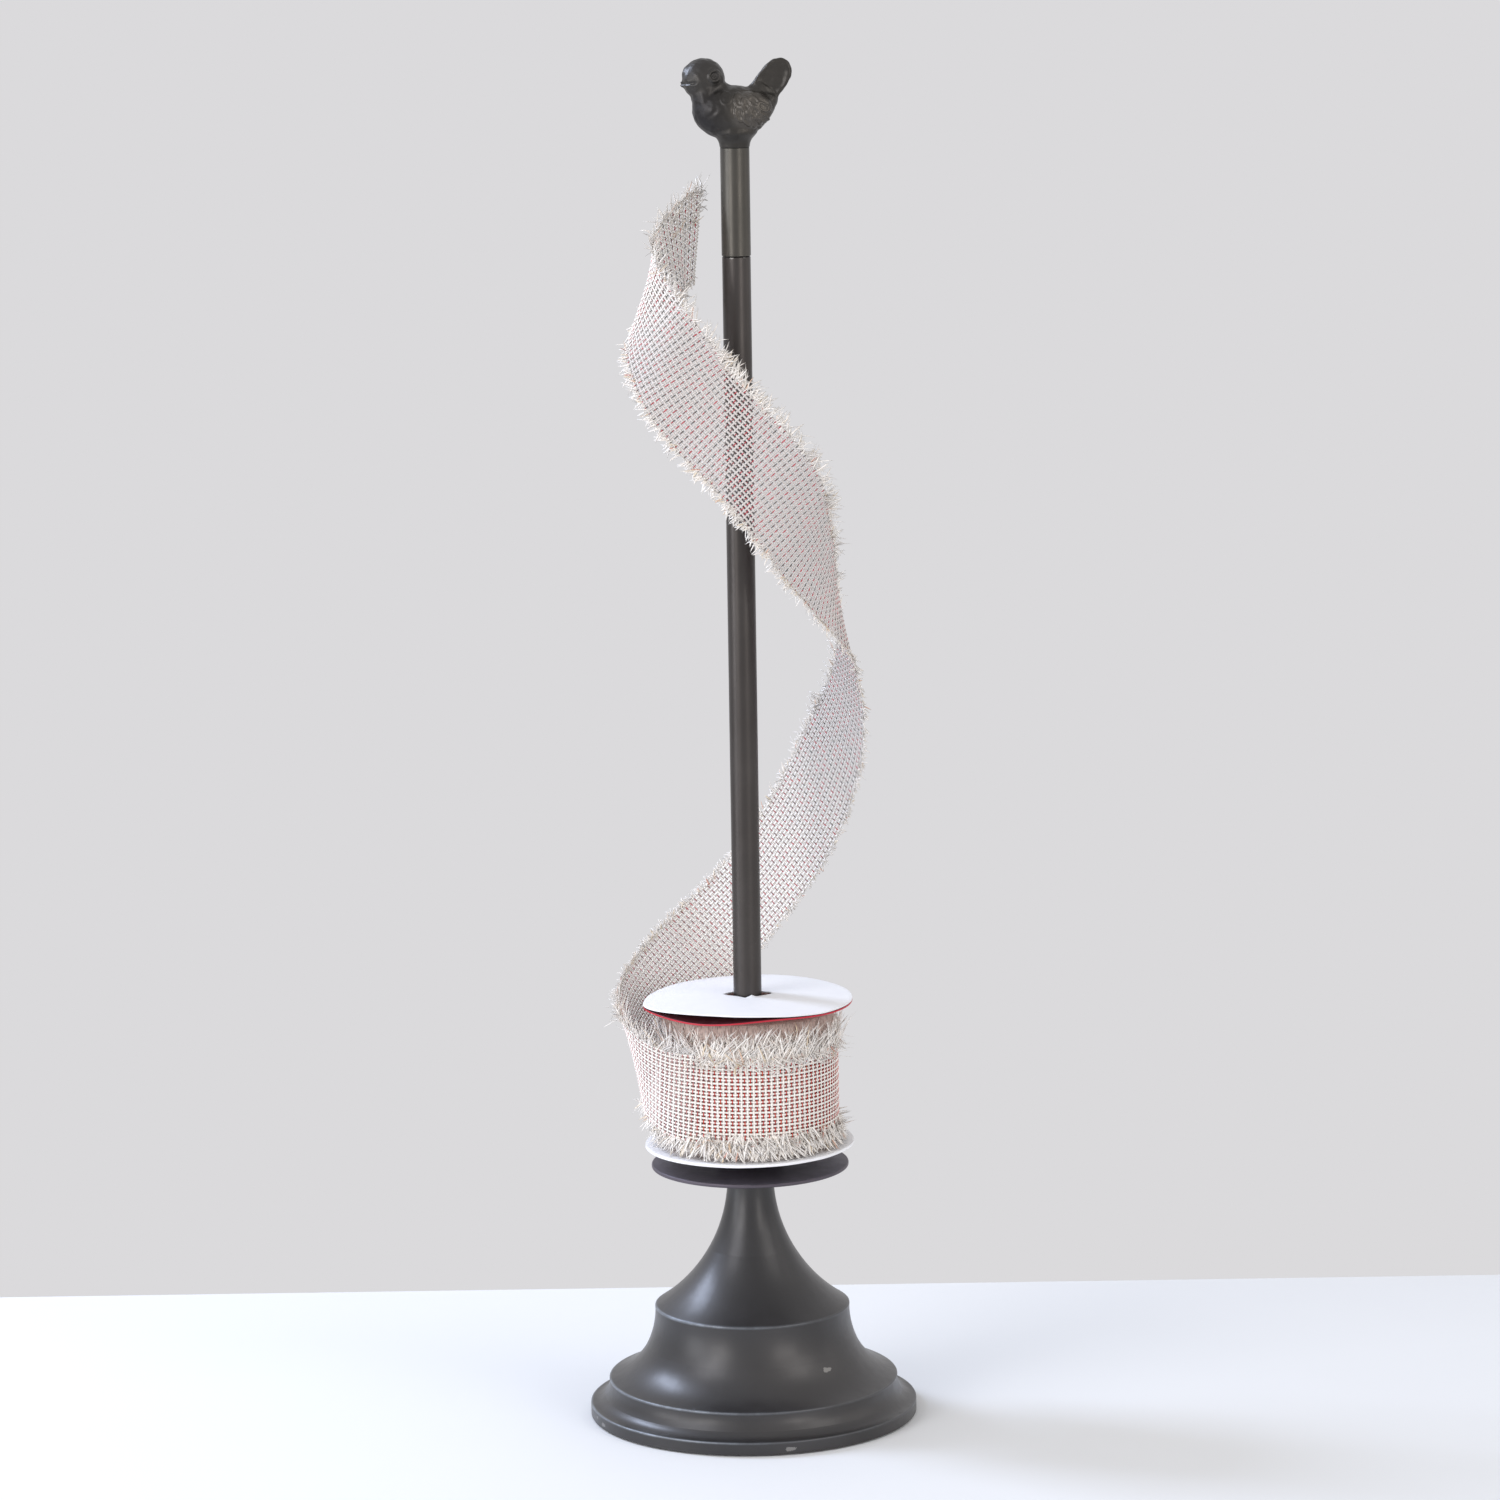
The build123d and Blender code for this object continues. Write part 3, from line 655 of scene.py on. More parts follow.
class Grower(Tree):
    """A Geometry Nodes tree under construction, with named inputs."""

    def __init__(self, name, labels):
        self.tree = bpy.data.node_groups.new(name, "GeometryNodeTree")
        face = self.tree.interface
        for way in ("INPUT", "OUTPUT"):
            face.new_socket(name="Geometry", in_out=way, socket_type="NodeSocketGeometry")
        self.names = {}
        for label in labels:
            kind = "NodeSocketInt" if label in whole_numbers else "NodeSocketFloat"
            self.names[label] = face.new_socket(name=label, in_out="INPUT", socket_type=kind).identifier
        self.start = self.tree.nodes.new("NodeGroupInput")
        self.end = self.tree.nodes.new("NodeGroupOutput")

    def given(self, label):
        return Wire(next(s for s in self.start.outputs if s.name == label))

    def vector(self, x, y, z):
        return self.node("ShaderNodeCombineXYZ", None, {0: x, 1: y, 2: z})

    def stored(self, name):
        return self.node("GeometryNodeInputNamedAttribute", {"data_type": "FLOAT_VECTOR"}, {0: name})

    def chance(self, number, seed):
        """A random number from 0 to 1 for each strand, always the same for the same seed."""
        values = {"Min": 0.0, "Max": 1.0, "ID": number, "Seed": seed}
        return self.node("FunctionNodeRandomValue", {"data_type": "FLOAT"}, values, 1)

    def wander(self, *place):
        """Smooth noise from -0.5 to 0.5."""
        return self.node("ShaderNodeTexNoise", None, {0: self.vector(*place), 2: 1.0, 3: 1.0}) - 0.5

    def tubes(self, count, rings):
        """A field of loose three-sided tubes, each of so many rings. Gives the mesh without the
        faces between tubes, and for each point its tube's number, its ring and its angle."""
        columns = count * (tube_sides + 1)
        sizes = {"Size X": 1.0, "Size Y": 1.0, "Vertices X": rings, "Vertices Y": columns}
        grid = self.node("GeometryNodeMeshGrid", None, sizes)
        x, y, _ = self.axes(self.node("GeometryNodeInputPosition"))
        ring = ((x + 0.5) * (rings - 1)).maths("ROUND")
        column = (y + 0.5) * (columns - 1)
        gap = column.maths("FLOOR").maths("MODULO", tube_sides + 1).maths("GREATER_THAN", tube_sides - 0.5)
        kept = self.node("GeometryNodeDeleteGeometry", {"domain": "FACE"}, {0: grid, 1: gap})
        column = column.maths("ROUND")
        number = (column / (tube_sides + 1) + 0.001).maths("FLOOR")
        corner = column - number * (tube_sides + 1)
        return kept, number, ring, corner * (2 * math.pi / tube_sides) + math.pi / 2

    def off_cloth(self, across, along, **amounts):
        """The cloth's place there, and that place moved by amounts of the cloth's directions."""
        surface, spot = Wire(self.start.outputs[0]), self.vector(across, along, 0.0)

        def sampled(field):
            values = {0: surface, 1: field, 2: self.stored("UVMap"), 3: spot}
            return self.node("GeometryNodeSampleUVSurface", {"data_type": "FLOAT_VECTOR"}, values)

        root = place = sampled(self.node("GeometryNodeInputPosition"))
        for way, amount in amounts.items():
            step = vector_maths("SCALE", sampled(self.stored(way)), scale=amount)
            place = vector_maths("ADD", place, step)
        return root, place

    def finish(self, geometry, place, stored, material):
        """Stores what the finish reads while the points still lie on the plain grid, then moves
        them to their place and closes the tubes."""
        for kind, settings, values in (
            (
                "StoreNamedAttribute",
                {"data_type": "FLOAT_VECTOR", "domain": "POINT"},
                {"Name": "yarn_place", "Value": stored},
            ),
            ("SetPosition", None, {"Position": place}),
            ("MergeByDistance", None, {"Distance": 2e-6}),
            ("SetShadeSmooth", None, {}),
            ("RealizeInstances", None, {}),
            ("SetMaterial", None, {"Material": material}),
        ):
            geometry = self.node("GeometryNode" + kind, settings, {"Geometry": geometry, **values})
        plug(self.end.inputs[0], geometry)
        return self


def grown(name, guide, grower, values, rides=True):
    """The plain mesh that a tree grows from a guide, as a piece of the ribbon or as a part of one."""
    modifier = guide.modifiers.new(name, "NODES")
    modifier.node_group = grower.tree
    for label, value in values.items():
        modifier[grower.names[label]] = value
    bpy.context.view_layer.update()
    piece = linked(name, evaluated_mesh(guide))
    guide.modifiers.remove(modifier)
    piece.data.name = name
    if rides:
        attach(piece, "spool")
    return piece


yarn_inputs = ("Yarns", "Rings", "First", "Spacing", "Width", "Thickness", "Crimp", "Wander", "Seed")
lengthwise_inputs = (*yarn_inputs, "Wefts", "Weft start")
crosswise_inputs = (*yarn_inputs, "Number")


def yarn_tree(name, material, inputs):
    """Yarns that run along the cloth, over and under its wefts, or across it, over and under
    its warps, by the inputs they have."""
    g = Grower(name, inputs)
    given = g.given
    rings = given("Rings")
    mesh, yarn, ring, angle = g.tubes(given("Yarns"), rings)
    run = ring / (rings - 1)
    inside = ring.between(0.5, rings - 1.5)
    aside = angle.maths("COSINE") * given("Width") * 0.5 * inside
    height = angle.maths("SINE") * given("Thickness") * 0.5 * inside
    first, spacing, seed = given("First"), given("Spacing"), given("Seed")
    if inputs == lengthwise_inputs:
        wefts = run * given("Wefts") + given("Weft start")
        sway = g.wander(wefts * 0.35, yarn * 7.7, seed) * given("Wander")
        fat = g.wander(wefts * 0.8, yarn * 3.1, seed + 5.0) * 0.35 + 1.0
        spot = (first + spacing * yarn + sway + aside * fat, run)
        crossings, numbers = wefts * 2.0 + yarn, (wefts, yarn, 0.0)
    else:
        warps = run * warp_count - 0.5
        number = yarn + given("Number")
        sway = g.wander(warps * 0.22, number * 7.7, seed) * given("Wander")
        spot = (run, first + spacing * (yarn + sway) + aside)
        crossings, numbers = warps, (warps, number, weft_mark)
    height = height + (crossings * math.pi).maths("COSINE") * given("Crimp")
    return g.finish(mesh, g.off_cloth(*spot, out_way=height)[1], g.vector(*numbers), material)


backing_reach = 0.0477  # how far out the upper cards hang the most
under_card = 0.0484  # how far out a strand still lies under them
hang_way = (-0.42, -0.906)  # the side on which they hang
lower_slope = 0.012  # of the lower card, towards x
card_scatter = 0.0006  # depth over which strands lie against a card
plain_strands = {  # what a fringe has where it isn't told otherwise
    "Lower share": 1.0, "Lift start": 0.0, "Lower lift": 0.0, "Folded": 0.10, "Floor": 0.0, "Ceiling": 1.0,
    "Sag": 0.0, "Early share": 1.0, "Start share": 1.0,
}
fringe_inputs = (
    "Strands", "Length", "Radius", "Inset", "Lean", "Lift", "Curl", "Shortest", *plain_strands, "Seed",
)
strand_rings = 6  # the first and the last are closed to a point


def fringe_tree(name, material, at_end=False):
    """Loose strands that stand out of the cloth's two edges, or of its cut end, each a thin
    flat strip. Some fold back over the cloth. Floor and Ceiling are the levels of the cards that
    the strands of the roll lie on and press against, and Sag is how far the upper one hangs."""
    g = Grower(name, fringe_inputs)
    given = g.given
    mesh, strand, ring, angle = g.tubes(given("Strands"), strand_rings)
    length, shortest = given("Length"), given("Shortest")
    seed, inset, ceiling = given("Seed"), given("Inset"), given("Ceiling")
    chances = [g.chance(strand, seed + 11 * k) for k in range(11)]
    share = ((ring - 1) / (strand_rings - 2)).maths("MAXIMUM", 0.0)
    low = chances[0].maths("LESS_THAN", 0.5)
    side = 1.0 - low * 2.0
    if at_end:
        across, along = 1.0 - chances[2] * chances[2] * 0.4, 1.0 - chances[1] * inset
        side = 1.0
    else:
        across = side * (0.5 - chances[1] * chances[1] * inset) + 0.5
        along = chances[2]
    reach = (shortest + (1.0 - shortest) * chances[3]) * length
    reach = reach * (1.0 - low * (1.0 - given("Lower share")))
    if not at_end:
        begun = along.ramp(0.10, 0.17, given("Start share"), 0.0)
        reach = reach * along.ramp(0.35, 0.6, given("Early share"), 1.0).maths("MAXIMUM", begun)
    lean = (chances[4] + chances[5] - 1.0) * given("Lean")
    curl = (chances[6] - 0.5) * given("Curl")
    lift = (chances[7] + chances[8] - 1.0) * given("Lift") + given("Lift start")
    lift = lift + low * given("Lower lift")
    folded = chances[9].maths("LESS_THAN", given("Folded"))
    lift = lift + folded * 0.25
    onward = 1.0 - folded * (1.04 + chances[10] * 0.26)
    straight = (lean * lean + lift * lift + 1.0) ** -0.5
    thin = 1.0 - chances[5].maths("LESS_THAN", 0.06) * 0.5
    girth = (1.0 - share * 0.4) * given("Radius") * ring.between(0.5, strand_rings - 1.5)
    girth = girth * (0.65 + chances[10] * 0.7) * thin
    out = share * reach * straight * onward * side
    beside = (share * lean + share * share * curl) * reach * straight + angle.maths("COSINE") * girth * 1.4
    rise = (share * lift - share * share * curl * 0.6) * reach * straight
    rise = rise + angle.maths("SINE") * girth * 0.5
    outward, sideways = ("run_way", "weft_way") if at_end else ("weft_way", "run_way")
    root, place = g.off_cloth(across, along, **{outward: out, sideways: beside, "out_way": rise})
    x, y, z = g.axes(place)
    hang = ((x * hang_way[0] + y * hang_way[1]) / backing_reach).maths("MAXIMUM", 0.0) ** 4
    scatter = chances[1] * card_scatter
    z = z.maths("MAXIMUM", x * lower_slope + scatter + given("Floor"))
    below = g.axes(root)[2].maths("LESS_THAN", ceiling)
    under = (x * x + y * y).maths("LESS_THAN", under_card**2) * below
    z = z.maths("MINIMUM", ceiling - hang * given("Sag") - scatter + (1.0 - under))
    return g.finish(mesh, g.vector(x, y, z), g.vector(share, chances[5], side), material)


warp_tree = yarn_tree("warps", white_yarn, lengthwise_inputs)
wire_tree = yarn_tree("edge wires", edge_wire, lengthwise_inputs)
white_weft_tree = yarn_tree("white wefts", white_yarn, crosswise_inputs)
coloured_weft_tree = yarn_tree("coloured wefts", coloured_yarn, crosswise_inputs)
frayed_tree = fringe_tree("frayed edges", tinsel)
cut_end_tree = fringe_tree("frayed cut end", tinsel, True)


weft_room = 0.4  # length that a weft needs before the end of a cloth


def last_weft(place, offset):
    """Number of the last weft, laid at an offset in pitches, that fits before a length."""
    return math.floor((place - weft_room) / weft_pitch - offset)


def woven(name, begin, end, overlap=0.0):
    """The yarns of one length of the ribbon: warps with white wefts, coloured wefts, wires.
    Every yarn is counted from the ribbon's start, so two lengths meet without a seam. A length
    that overlaps the one before it leaves out the weft that both would have."""
    guide = cloth_surface(name + "_guide", begin, end)
    length = end - begin
    wefts, start = length / weft_pitch, begin / weft_pitch
    warp_values = {
        "Yarns": warp_count, "Rings": round(wefts * 4) + 1, "First": 0.5 / warp_count,
        "Spacing": 1.0 / warp_count, "Width": 1.16 / cloth_width, "Thickness": 0.28 * MM,
        "Crimp": 0.12 * MM, "Wefts": wefts, "Weft start": start - 0.5, "Wander": 0.010, "Seed": 3,
    }
    wire_values = {
        "Yarns": 2, "Rings": round(wefts * 2) + 1, "First": 0.004, "Spacing": 0.992,
        "Width": 0.34 / cloth_width, "Thickness": 0.30 * MM, "Crimp": 0.0, "Wefts": wefts,
        "Weft start": start, "Wander": 0.010, "Seed": 6,
    }
    made = [grown(name + "_warps", guide, warp_tree, warp_values, False)]
    for ending, tree, offset, width, thickness, crimp, seed, rides in (
        ("_white", white_weft_tree, 0.5, 1.12, 0.26, -0.15, 4, False),
        ("_coloured_wefts", coloured_weft_tree, 1.0, 0.54, 0.2, 0.20, 5, True),
    ):
        first = last_weft(begin + overlap, offset) + 1
        weft_values = {
            "Yarns": last_weft(end, offset) - first + 1, "Rings": 2 * warp_count,
            "First": (first + offset - start) / wefts, "Spacing": 1.0 / wefts, "Width": width / length,
            "Thickness": thickness * MM, "Crimp": crimp * MM, "Wander": 0.16, "Seed": seed,
            "Number": float(first),
        }
        made.append(grown(name + ending, guide, tree, weft_values, rides))
    wires = grown(name + "_edge_wires", guide, wire_tree, wire_values)
    *loose, coloured = made
    join = bmesh.new()
    for yarns in loose:
        join.from_mesh(yarns.data)
    cloth_mesh = bpy.data.meshes.new(name + "_cloth")
    join.to_mesh(cloth_mesh)
    join.free()
    cloth_mesh.materials.append(white_yarn)
    cloth = linked(name + "_cloth", cloth_mesh)
    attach(cloth, "spool")
    for yarns in loose:
        bpy.data.objects.remove(yarns)
    return guide, cloth, coloured, wires


ring_step = weft_pitch / 4
seam_overlap = 2 * ring_step
seam_end = round(roll_length / ring_step + 1) * ring_step
tail_end = int(whole_length / ring_step) * ring_step
roll_guide, roll_cloth, roll_coloured, roll_wires = woven("ribbon_roll", 0.0, seam_end)
tail_guide, tail_cloth, tail_coloured, tail_wires = woven(
    "ribbon_tail", seam_end - seam_overlap, tail_end, seam_overlap
)
roll_fringe = grown("ribbon_roll_fringe", roll_guide, frayed_tree, {
    **plain_strands, "Strands": 3700, "Length": 16.5 * MM, "Shortest": 0.42, "Lower share": 0.66,
    "Radius": 0.46 * MM, "Inset": 0.14, "Lean": 1.6, "Lift": 0.40, "Curl": 0.9, "Lift start": 0.04,
    "Lower lift": 0.42, "Folded": 0.30, "Floor": bottom_high + 1.15 * MM, "Ceiling": backing_low + 0.3 * MM,
    "Sag": 3.2 * MM, "Seed": 5,
})
tail_fringe = grown("ribbon_tail_fringe", tail_guide, frayed_tree, {
    **plain_strands, "Strands": 4200, "Length": 9.0 * MM, "Shortest": 0.3, "Lower share": 0.7,
    "Radius": 0.33 * MM, "Inset": 0.05, "Lean": 1.7, "Lift": 0.9, "Curl": 1.0,
    "Ceiling": backing_low - 0.5 * MM, "Early share": 0.5, "Start share": 1.45, "Seed": 6,
})
cut_end_tuft = grown("ribbon_cut_end_tuft", tail_guide, cut_end_tree, {
    **plain_strands, "Strands": 120, "Length": 6.0 * MM, "Shortest": 0.3, "Radius": 0.28 * MM,
    "Inset": 0.03, "Lean": 2.2, "Lift": 1.4, "Curl": 1.4, "Seed": 7,
})
for guide in (roll_guide, tail_guide):
    bpy.data.objects.remove(guide)

# Deeper turns of the roll: a closed drum just inside the outer turns
drum_radius = roll_end_radius - layer_pitch * shown_turns - 0.5
drum_edge, drum_bend, core_radius, drum_steps = 30.5, 20.5, 12.2, 160
drum_profile = (
    (drum_radius, -drum_edge), (drum_radius, -drum_bend), (drum_radius, drum_bend), (drum_radius, drum_edge),
    (core_radius, drum_edge), (core_radius, -drum_edge),
)
drum_points = [
    about_axis(radius * MM, turn, (roll_middle + height) * MM)
    for turn in circle(drum_steps)
    for radius, height in drum_profile
]
drum_faces = grid_faces(drum_steps, len(drum_profile), True)
new_piece("ribbon_inner_turns", drum_points, drum_faces, wound_layers, "spool", "woven_ribbon")

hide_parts("ribbon_roll")
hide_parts("ribbon_tail")

# Flanges: round cards that are tilted, bowed and torn as on the real spool


def card_disc(name, hole, rim, low, high, rise_at, material, slot, node, steps=160, rings=26):
    """A closed card disc. hole and rim give its inner and outer radius at a turn, rise_at its
    rise at a radius and turn, in metres, and low and high its two faces."""
    points = []
    for turn in np.linspace(0, 2 * math.pi, steps, endpoint=False):
        radii = [hole(turn) + (rim(turn) - hole(turn)) * ring / rings for ring in range(rings + 1)]
        for level, way in ((low, radii), (high, radii[::-1])):
            points += [about_axis(r, turn, level + rise_at(r, turn)) for r in way]
    faces = grid_faces(steps, 2 * (rings + 1), True)
    piece = new_piece(name, points, faces, material, "spool", slot)
    bevel = piece.modifiers.new("worn edge", "BEVEL")
    bevel.width = 0.12 * MM
    bevel.segments = 2
    bevel.limit_method = "ANGLE"
    bevel.angle_limit = math.radians(50)
    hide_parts(node)


def away(turn, middle):
    """Angle between two turns, in degrees."""
    return abs((math.degrees(turn) - middle + 180) % 360 - 180)


def card_rim(turn):
    """Radius of a card's worn rim."""
    worn = waves(math.cos(turn) * 2, math.sin(turn) * 2, 0.5)
    return card_radius - 0.15 * MM - abs(worn) * 0.5 * MM


def torn_hole(turn):
    """Edge of the torn, eye-shaped hole in the top card."""
    x, y = math.cos(turn), math.sin(turn)
    lens = 1 / (abs(x / (11.0 * MM)) ** 1.25 + abs(y / (8.3 * MM)) ** 1.25) ** (1 / 1.25)
    ragged = waves(x * 6, y * 6, 2.7) * 0.5 + waves(x * 21, y * 21, 7.7) * 0.3
    corner = 1.5 * max(0.0, 1 - away(turn, 14) / 12)
    return max(lens + (ragged + corner) * MM, 6.9 * MM)


rim_waves = (  # height of the top card's rim at turns in degrees, in millimetres
    (-180, -2.2), (-150, 0.1), (-120, 1.9), (-95, 1.9), (-68, 1.0), (-49, -0.1), (-20, 0.0),
    (0, 0.3), (45, 0.7), (75, 1.3), (100, 0.5), (130, 0.0), (155, -1.0),
)


def rim_wave(turn):
    places, heights = zip(*rim_waves)
    around = math.degrees(turn) + np.array((-14.0, -7.0, 0.0, 7.0, 14.0))
    return float(np.interp(around, places, heights, period=360).mean()) * MM


def bowed(radius, turn):
    """Rise of both upper cards: the waves of the rim, and a dome over the middle."""
    share = (radius / card_radius) ** 2
    return rim_wave(turn) * share + 2.1 * MM * (1 - share)


def torn_spot(radius, turn, middle, spread, depth):
    """How near a place is to a spot on the hole's edge, from 0 to 1."""
    return max(0.0, 1 - away(turn, middle) / spread) * max(0.0, 1 - (radius - 7.4 * MM) / (depth * MM))


def top_card_rise(radius, turn):
    """The white card, with a flap that is bent up and a dent beside it."""
    flap = 1.1 * MM * torn_spot(radius, turn, -78, 17, 2.6)
    dent = 0.5 * MM * torn_spot(radius, turn, -100, 14, 2.4)
    return bowed(radius, turn) + flap - dent


def backing_rise(radius, turn):
    """The coloured card lies against the white one and hangs away from it at the front left."""
    reach = max(0.0, (radius - backing_hole) / (card_radius - backing_hole))
    gap = 0.05 + 3.6 * math.exp(-((away(turn, -115) / 32) ** 2))
    return bowed(radius, turn) - gap * MM * reach


def bottom_card_rise(radius, turn):
    reach = max(0.0, min(1.0, (radius - 15 * MM) / (card_radius - 15 * MM)))
    return reach * (0.8 + 0.55 * math.cos(turn) + 0.1 * math.cos(2 * turn)) * MM


backing_hole = 12.0 * MM
card_disc(
    "top_card", torn_hole, card_rim, top_high - 0.65 * MM, top_high, top_card_rise, white_card, "white_card",
    "top_flange_card",
)
card_disc(
    "red_backing", lambda turn: backing_hole, lambda turn: card_radius - 0.3 * MM, top_high - 1.55 * MM,
    top_high - 0.72 * MM, backing_rise, red_card, "red_card", "top_flange_backing",
)
card_disc(
    "bottom_card", lambda turn: 10.0 * MM, card_rim, bottom_low, bottom_high, bottom_card_rise, white_card,
    "white_card", "bottom_flange_card",
)

# Stud with its real thread


def threaded_stud(around=36):
    """Points and faces of the stud, whose thread is one unbroken spiral."""
    low, high = (corner.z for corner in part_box("finial_stud"))
    pitch, crest, root, chamfer = 1.25 * MM, 3.98 * MM, 3.3 * MM, 0.55 * MM
    rows_per_turn = 6
    last = int((high - low) / pitch * rows_per_turn)
    rows = []
    for number in range(last + 1):
        height = low + (high - low) * number / last
        end = min(height - low, high - height)
        row = []
        for k, angle in enumerate(circle(around)):
            tooth = 1 - abs(((height / pitch - k / around) % 1.0) * 2 - 1)
            radius = root + (crest - root) * min(1.0, max(0.0, tooth * 1.3 - 0.1))
            radius = min(radius, crest - chamfer + end)
            row.append(about_axis(radius, angle, height))
        rows.append(row)
    return tube(rows)


stud = new_piece("threaded_stud", *threaded_stud(), zinc, "screw", "zinc_steel")
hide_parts("finial_stud")

# Cast bird: rough forms in mm, melted together by a remesh, then carved
bird_level = bird_middle / MM


def add_tube(work, rows):
    """Adds a closed form through rows of points."""
    points, faces = tube(rows)
    verts = [work.verts.new(point) for point in points]
    for face in faces:
        work.faces.new([verts[k] for k in face])


def ellipsoid(work, centre, radii, tilt=0.0):
    """Adds an ellipsoid, tilted in the side view by so many degrees, nose up positive."""
    turned_up = Matrix.Rotation(math.radians(tilt), 4, "Y") @ Matrix.Diagonal((*radii, 1.0))
    place = Matrix.Translation(Vector(centre)) @ turned_up
    bmesh.ops.create_uvsphere(work, u_segments=28, v_segments=14, radius=1.0, matrix=place)


def limb(work, sections, around=32, steps=6):
    """Adds a closed form through sections of (x, z, half width, half height, tilt)."""
    columns = list(zip(*sections))
    rows = []
    for place in np.linspace(0, len(sections) - 1, (len(sections) - 1) * steps + 1):
        x, z, wide, tall, tilt = (eased(column, place) for column in columns)
        sine, cosine = math.sin(math.radians(tilt)), math.cos(math.radians(tilt))
        points = [(wide * math.cos(angle), tall * math.sin(angle)) for angle in circle(around)]
        rows.append([(x - rise * sine, y, z + rise * cosine) for y, rise in points])
    add_tube(work, rows)


def paddle(work, centre, angle, half_length, half_width, half_thick, steps=56):
    """The tail: a flat rounded paddle whose two faces are dished inside a thick rim."""
    centre, angle = Vector(centre), math.radians(angle)
    along = Vector((math.cos(angle), 0, math.sin(angle)))
    across = Vector((-math.sin(angle), 0, math.cos(angle)))
    outline = []
    for turn in circle(steps):
        length = math.copysign(abs(math.cos(turn)) ** 0.72, math.cos(turn)) * half_length
        outline.append(centre + along * length + across * math.sin(turn) * half_width)
    face = ((0.62, -0.66), (0.74, -0.80), (0.84, -0.96), (0.95, -0.88), (1.0, -0.5))
    other = [(share, -depth) for share, depth in reversed(face)]
    rows = []
    for share, depth in (*face, *other):
        shift = Vector((0, depth * half_thick, 0))
        rows.append([centre + (point - centre) * share + shift for point in outline])
    add_tube(work, rows)


def turned(work, profile, around=56):
    """Adds a closed turned form about the post's axis from (height, radius) pairs."""
    rows = [[about_axis(radius, turn, height) for turn in circle(around)] for height, radius in profile]
    add_tube(work, rows)


def bird_forms():
    """The bird's rough forms in millimetres, z counted from the middle of its body."""
    work = bmesh.new()
    # body, from breast to rump
    limb(
        work,
        (
            (-18.4, 1.4, 2.2, 3.4, 0), (-17.2, 1.0, 5.8, 6.6, 0), (-14.4, 0.4, 8.8, 9.2, 0),
            (-10.2, -0.6, 10.8, 11.1, 0), (-5.0, -1.1, 11.8, 11.7, 0), (0.5, -1.2, 12.0, 11.7, 0),
            (5.5, -1.0, 11.5, 10.9, 0), (9.6, -0.5, 10.2, 9.5, 0), (13.0, 0.6, 8.2, 7.8, 0),
            (16.2, 2.2, 5.6, 5.4, 0), (18.4, 3.9, 3.2, 3.0, 0), (19.4, 4.7, 1.3, 1.2, 0),
        ),
        40,
    )
    # round head, throat and breast
    ellipsoid(work, (-13.3, 0, 13.3), (9.5, 8.7, 9.4))
    limb(work, ((-13.4, 13.0, 8.2, 8.6, 90), (-12.4, 8.4, 8.3, 7.4, 88), (-11.4, 3.0, 9.6, 7.4, 84)))
    # nape
    limb(work, ((-8.0, 9.0, 6.4, 6.0, 0), (-3.6, 6.6, 5.6, 4.6, -24), (1.5, 5.4, 4.2, 4.4, -10)))
    # forehead over the beak, and the beak's two halves
    ellipsoid(work, (-18.2, 0, 15.2), (4.6, 5.2, 5.2))
    limb(work, (
        (-17.0, 12.4, 4.6, 2.2, 0), (-20.8, 12.3, 2.9, 1.5, 0), (-22.8, 11.9, 1.5, 0.8, 0),
        (-23.7, 11.6, 0.5, 0.4, 0),
    ))
    limb(work, (
        (-15.0, 9.6, 5.2, 2.2, 0), (-19.6, 10.2, 3.0, 1.3, 0), (-22.4, 10.6, 1.5, 0.8, 0),
        (-23.6, 10.9, 0.5, 0.4, 0),
    ))
    # tail and its root on the back
    paddle(work, (16.6, 0, 12.2), 52, 11.4, 6.5, 2.1)
    limb(work, ((7.0, 2.0, 6.6, 6.0, 30), (11.6, 5.6, 4.4, 6.8, 45), (14.8, 9.8, 2.3, 6.4, 52)))
    # foot that flares down onto the sleeve
    turned(work, (
        (-26.5, 5.2), (-17.0, 5.2), (-16.9, 6.72), (-15.9, 6.72), (-14.6, 6.95), (-13.2, 7.6), (-11.8, 8.8),
        (-10.4, 10.2), (-6.0, 10.2),
    ))
    # folded wings
    for side in (-1, 1):
        ellipsoid(work, (6.6, side * 6.8, 0.2), (10.6, 6.0, 8.0), -6)
    bmesh.ops.recalc_face_normals(work, faces=work.faces)
    mesh = bpy.data.meshes.new("bird")
    for vert in work.verts:
        vert.co = Vector((vert.co.x, vert.co.y, vert.co.z + bird_level)) * MM
    work.to_mesh(mesh)
    work.free()
    return linked("cast_bird", mesh)


def bump_of(distance, reach):
    """A round hump: 1 at no distance, 0 from reach on."""
    return max(0.0, 1 - (distance / reach) ** 2) ** 1.5


feathers = [  # middle in the side view, length, width and turn of each cast feather of a wing
    (2.4, 4.2, 3.4, 2.1, -74), (2.6, -1.4, 3.6, 2.2, -78), (5.8, 2.4, 3.6, 2.0, -60),
    (6.0, -3.8, 3.4, 2.0, -62), (8.8, 3.8, 3.2, 1.8, -48), (9.4, -1.0, 3.6, 1.9, -44),
    (9.4, -5.6, 3.0, 1.7, -50), (12.8, 1.4, 3.2, 1.6, -32), (12.6, -3.4, 3.2, 1.6, -34),
]


def feather(x, z):
    """Height of the wing's cast feathers at a place in the side view."""
    height = 0.0
    for middle_x, middle_z, length, width, turn in feathers:
        turn = math.radians(turn)
        along = (x - middle_x) * math.cos(turn) + (z - middle_z) * math.sin(turn)
        across = -(x - middle_x) * math.sin(turn) + (z - middle_z) * math.cos(turn)
        shape = (along / length) ** 2 + (across / width) ** 2
        if shape < 1.6:
            rim = bump_of(shape - 0.8, 0.62)
            quill = bump_of(across, 0.6) * (shape < 0.6) * 0.4
            height = max(height, 0.8 * rim + 0.4 * quill)
    return height


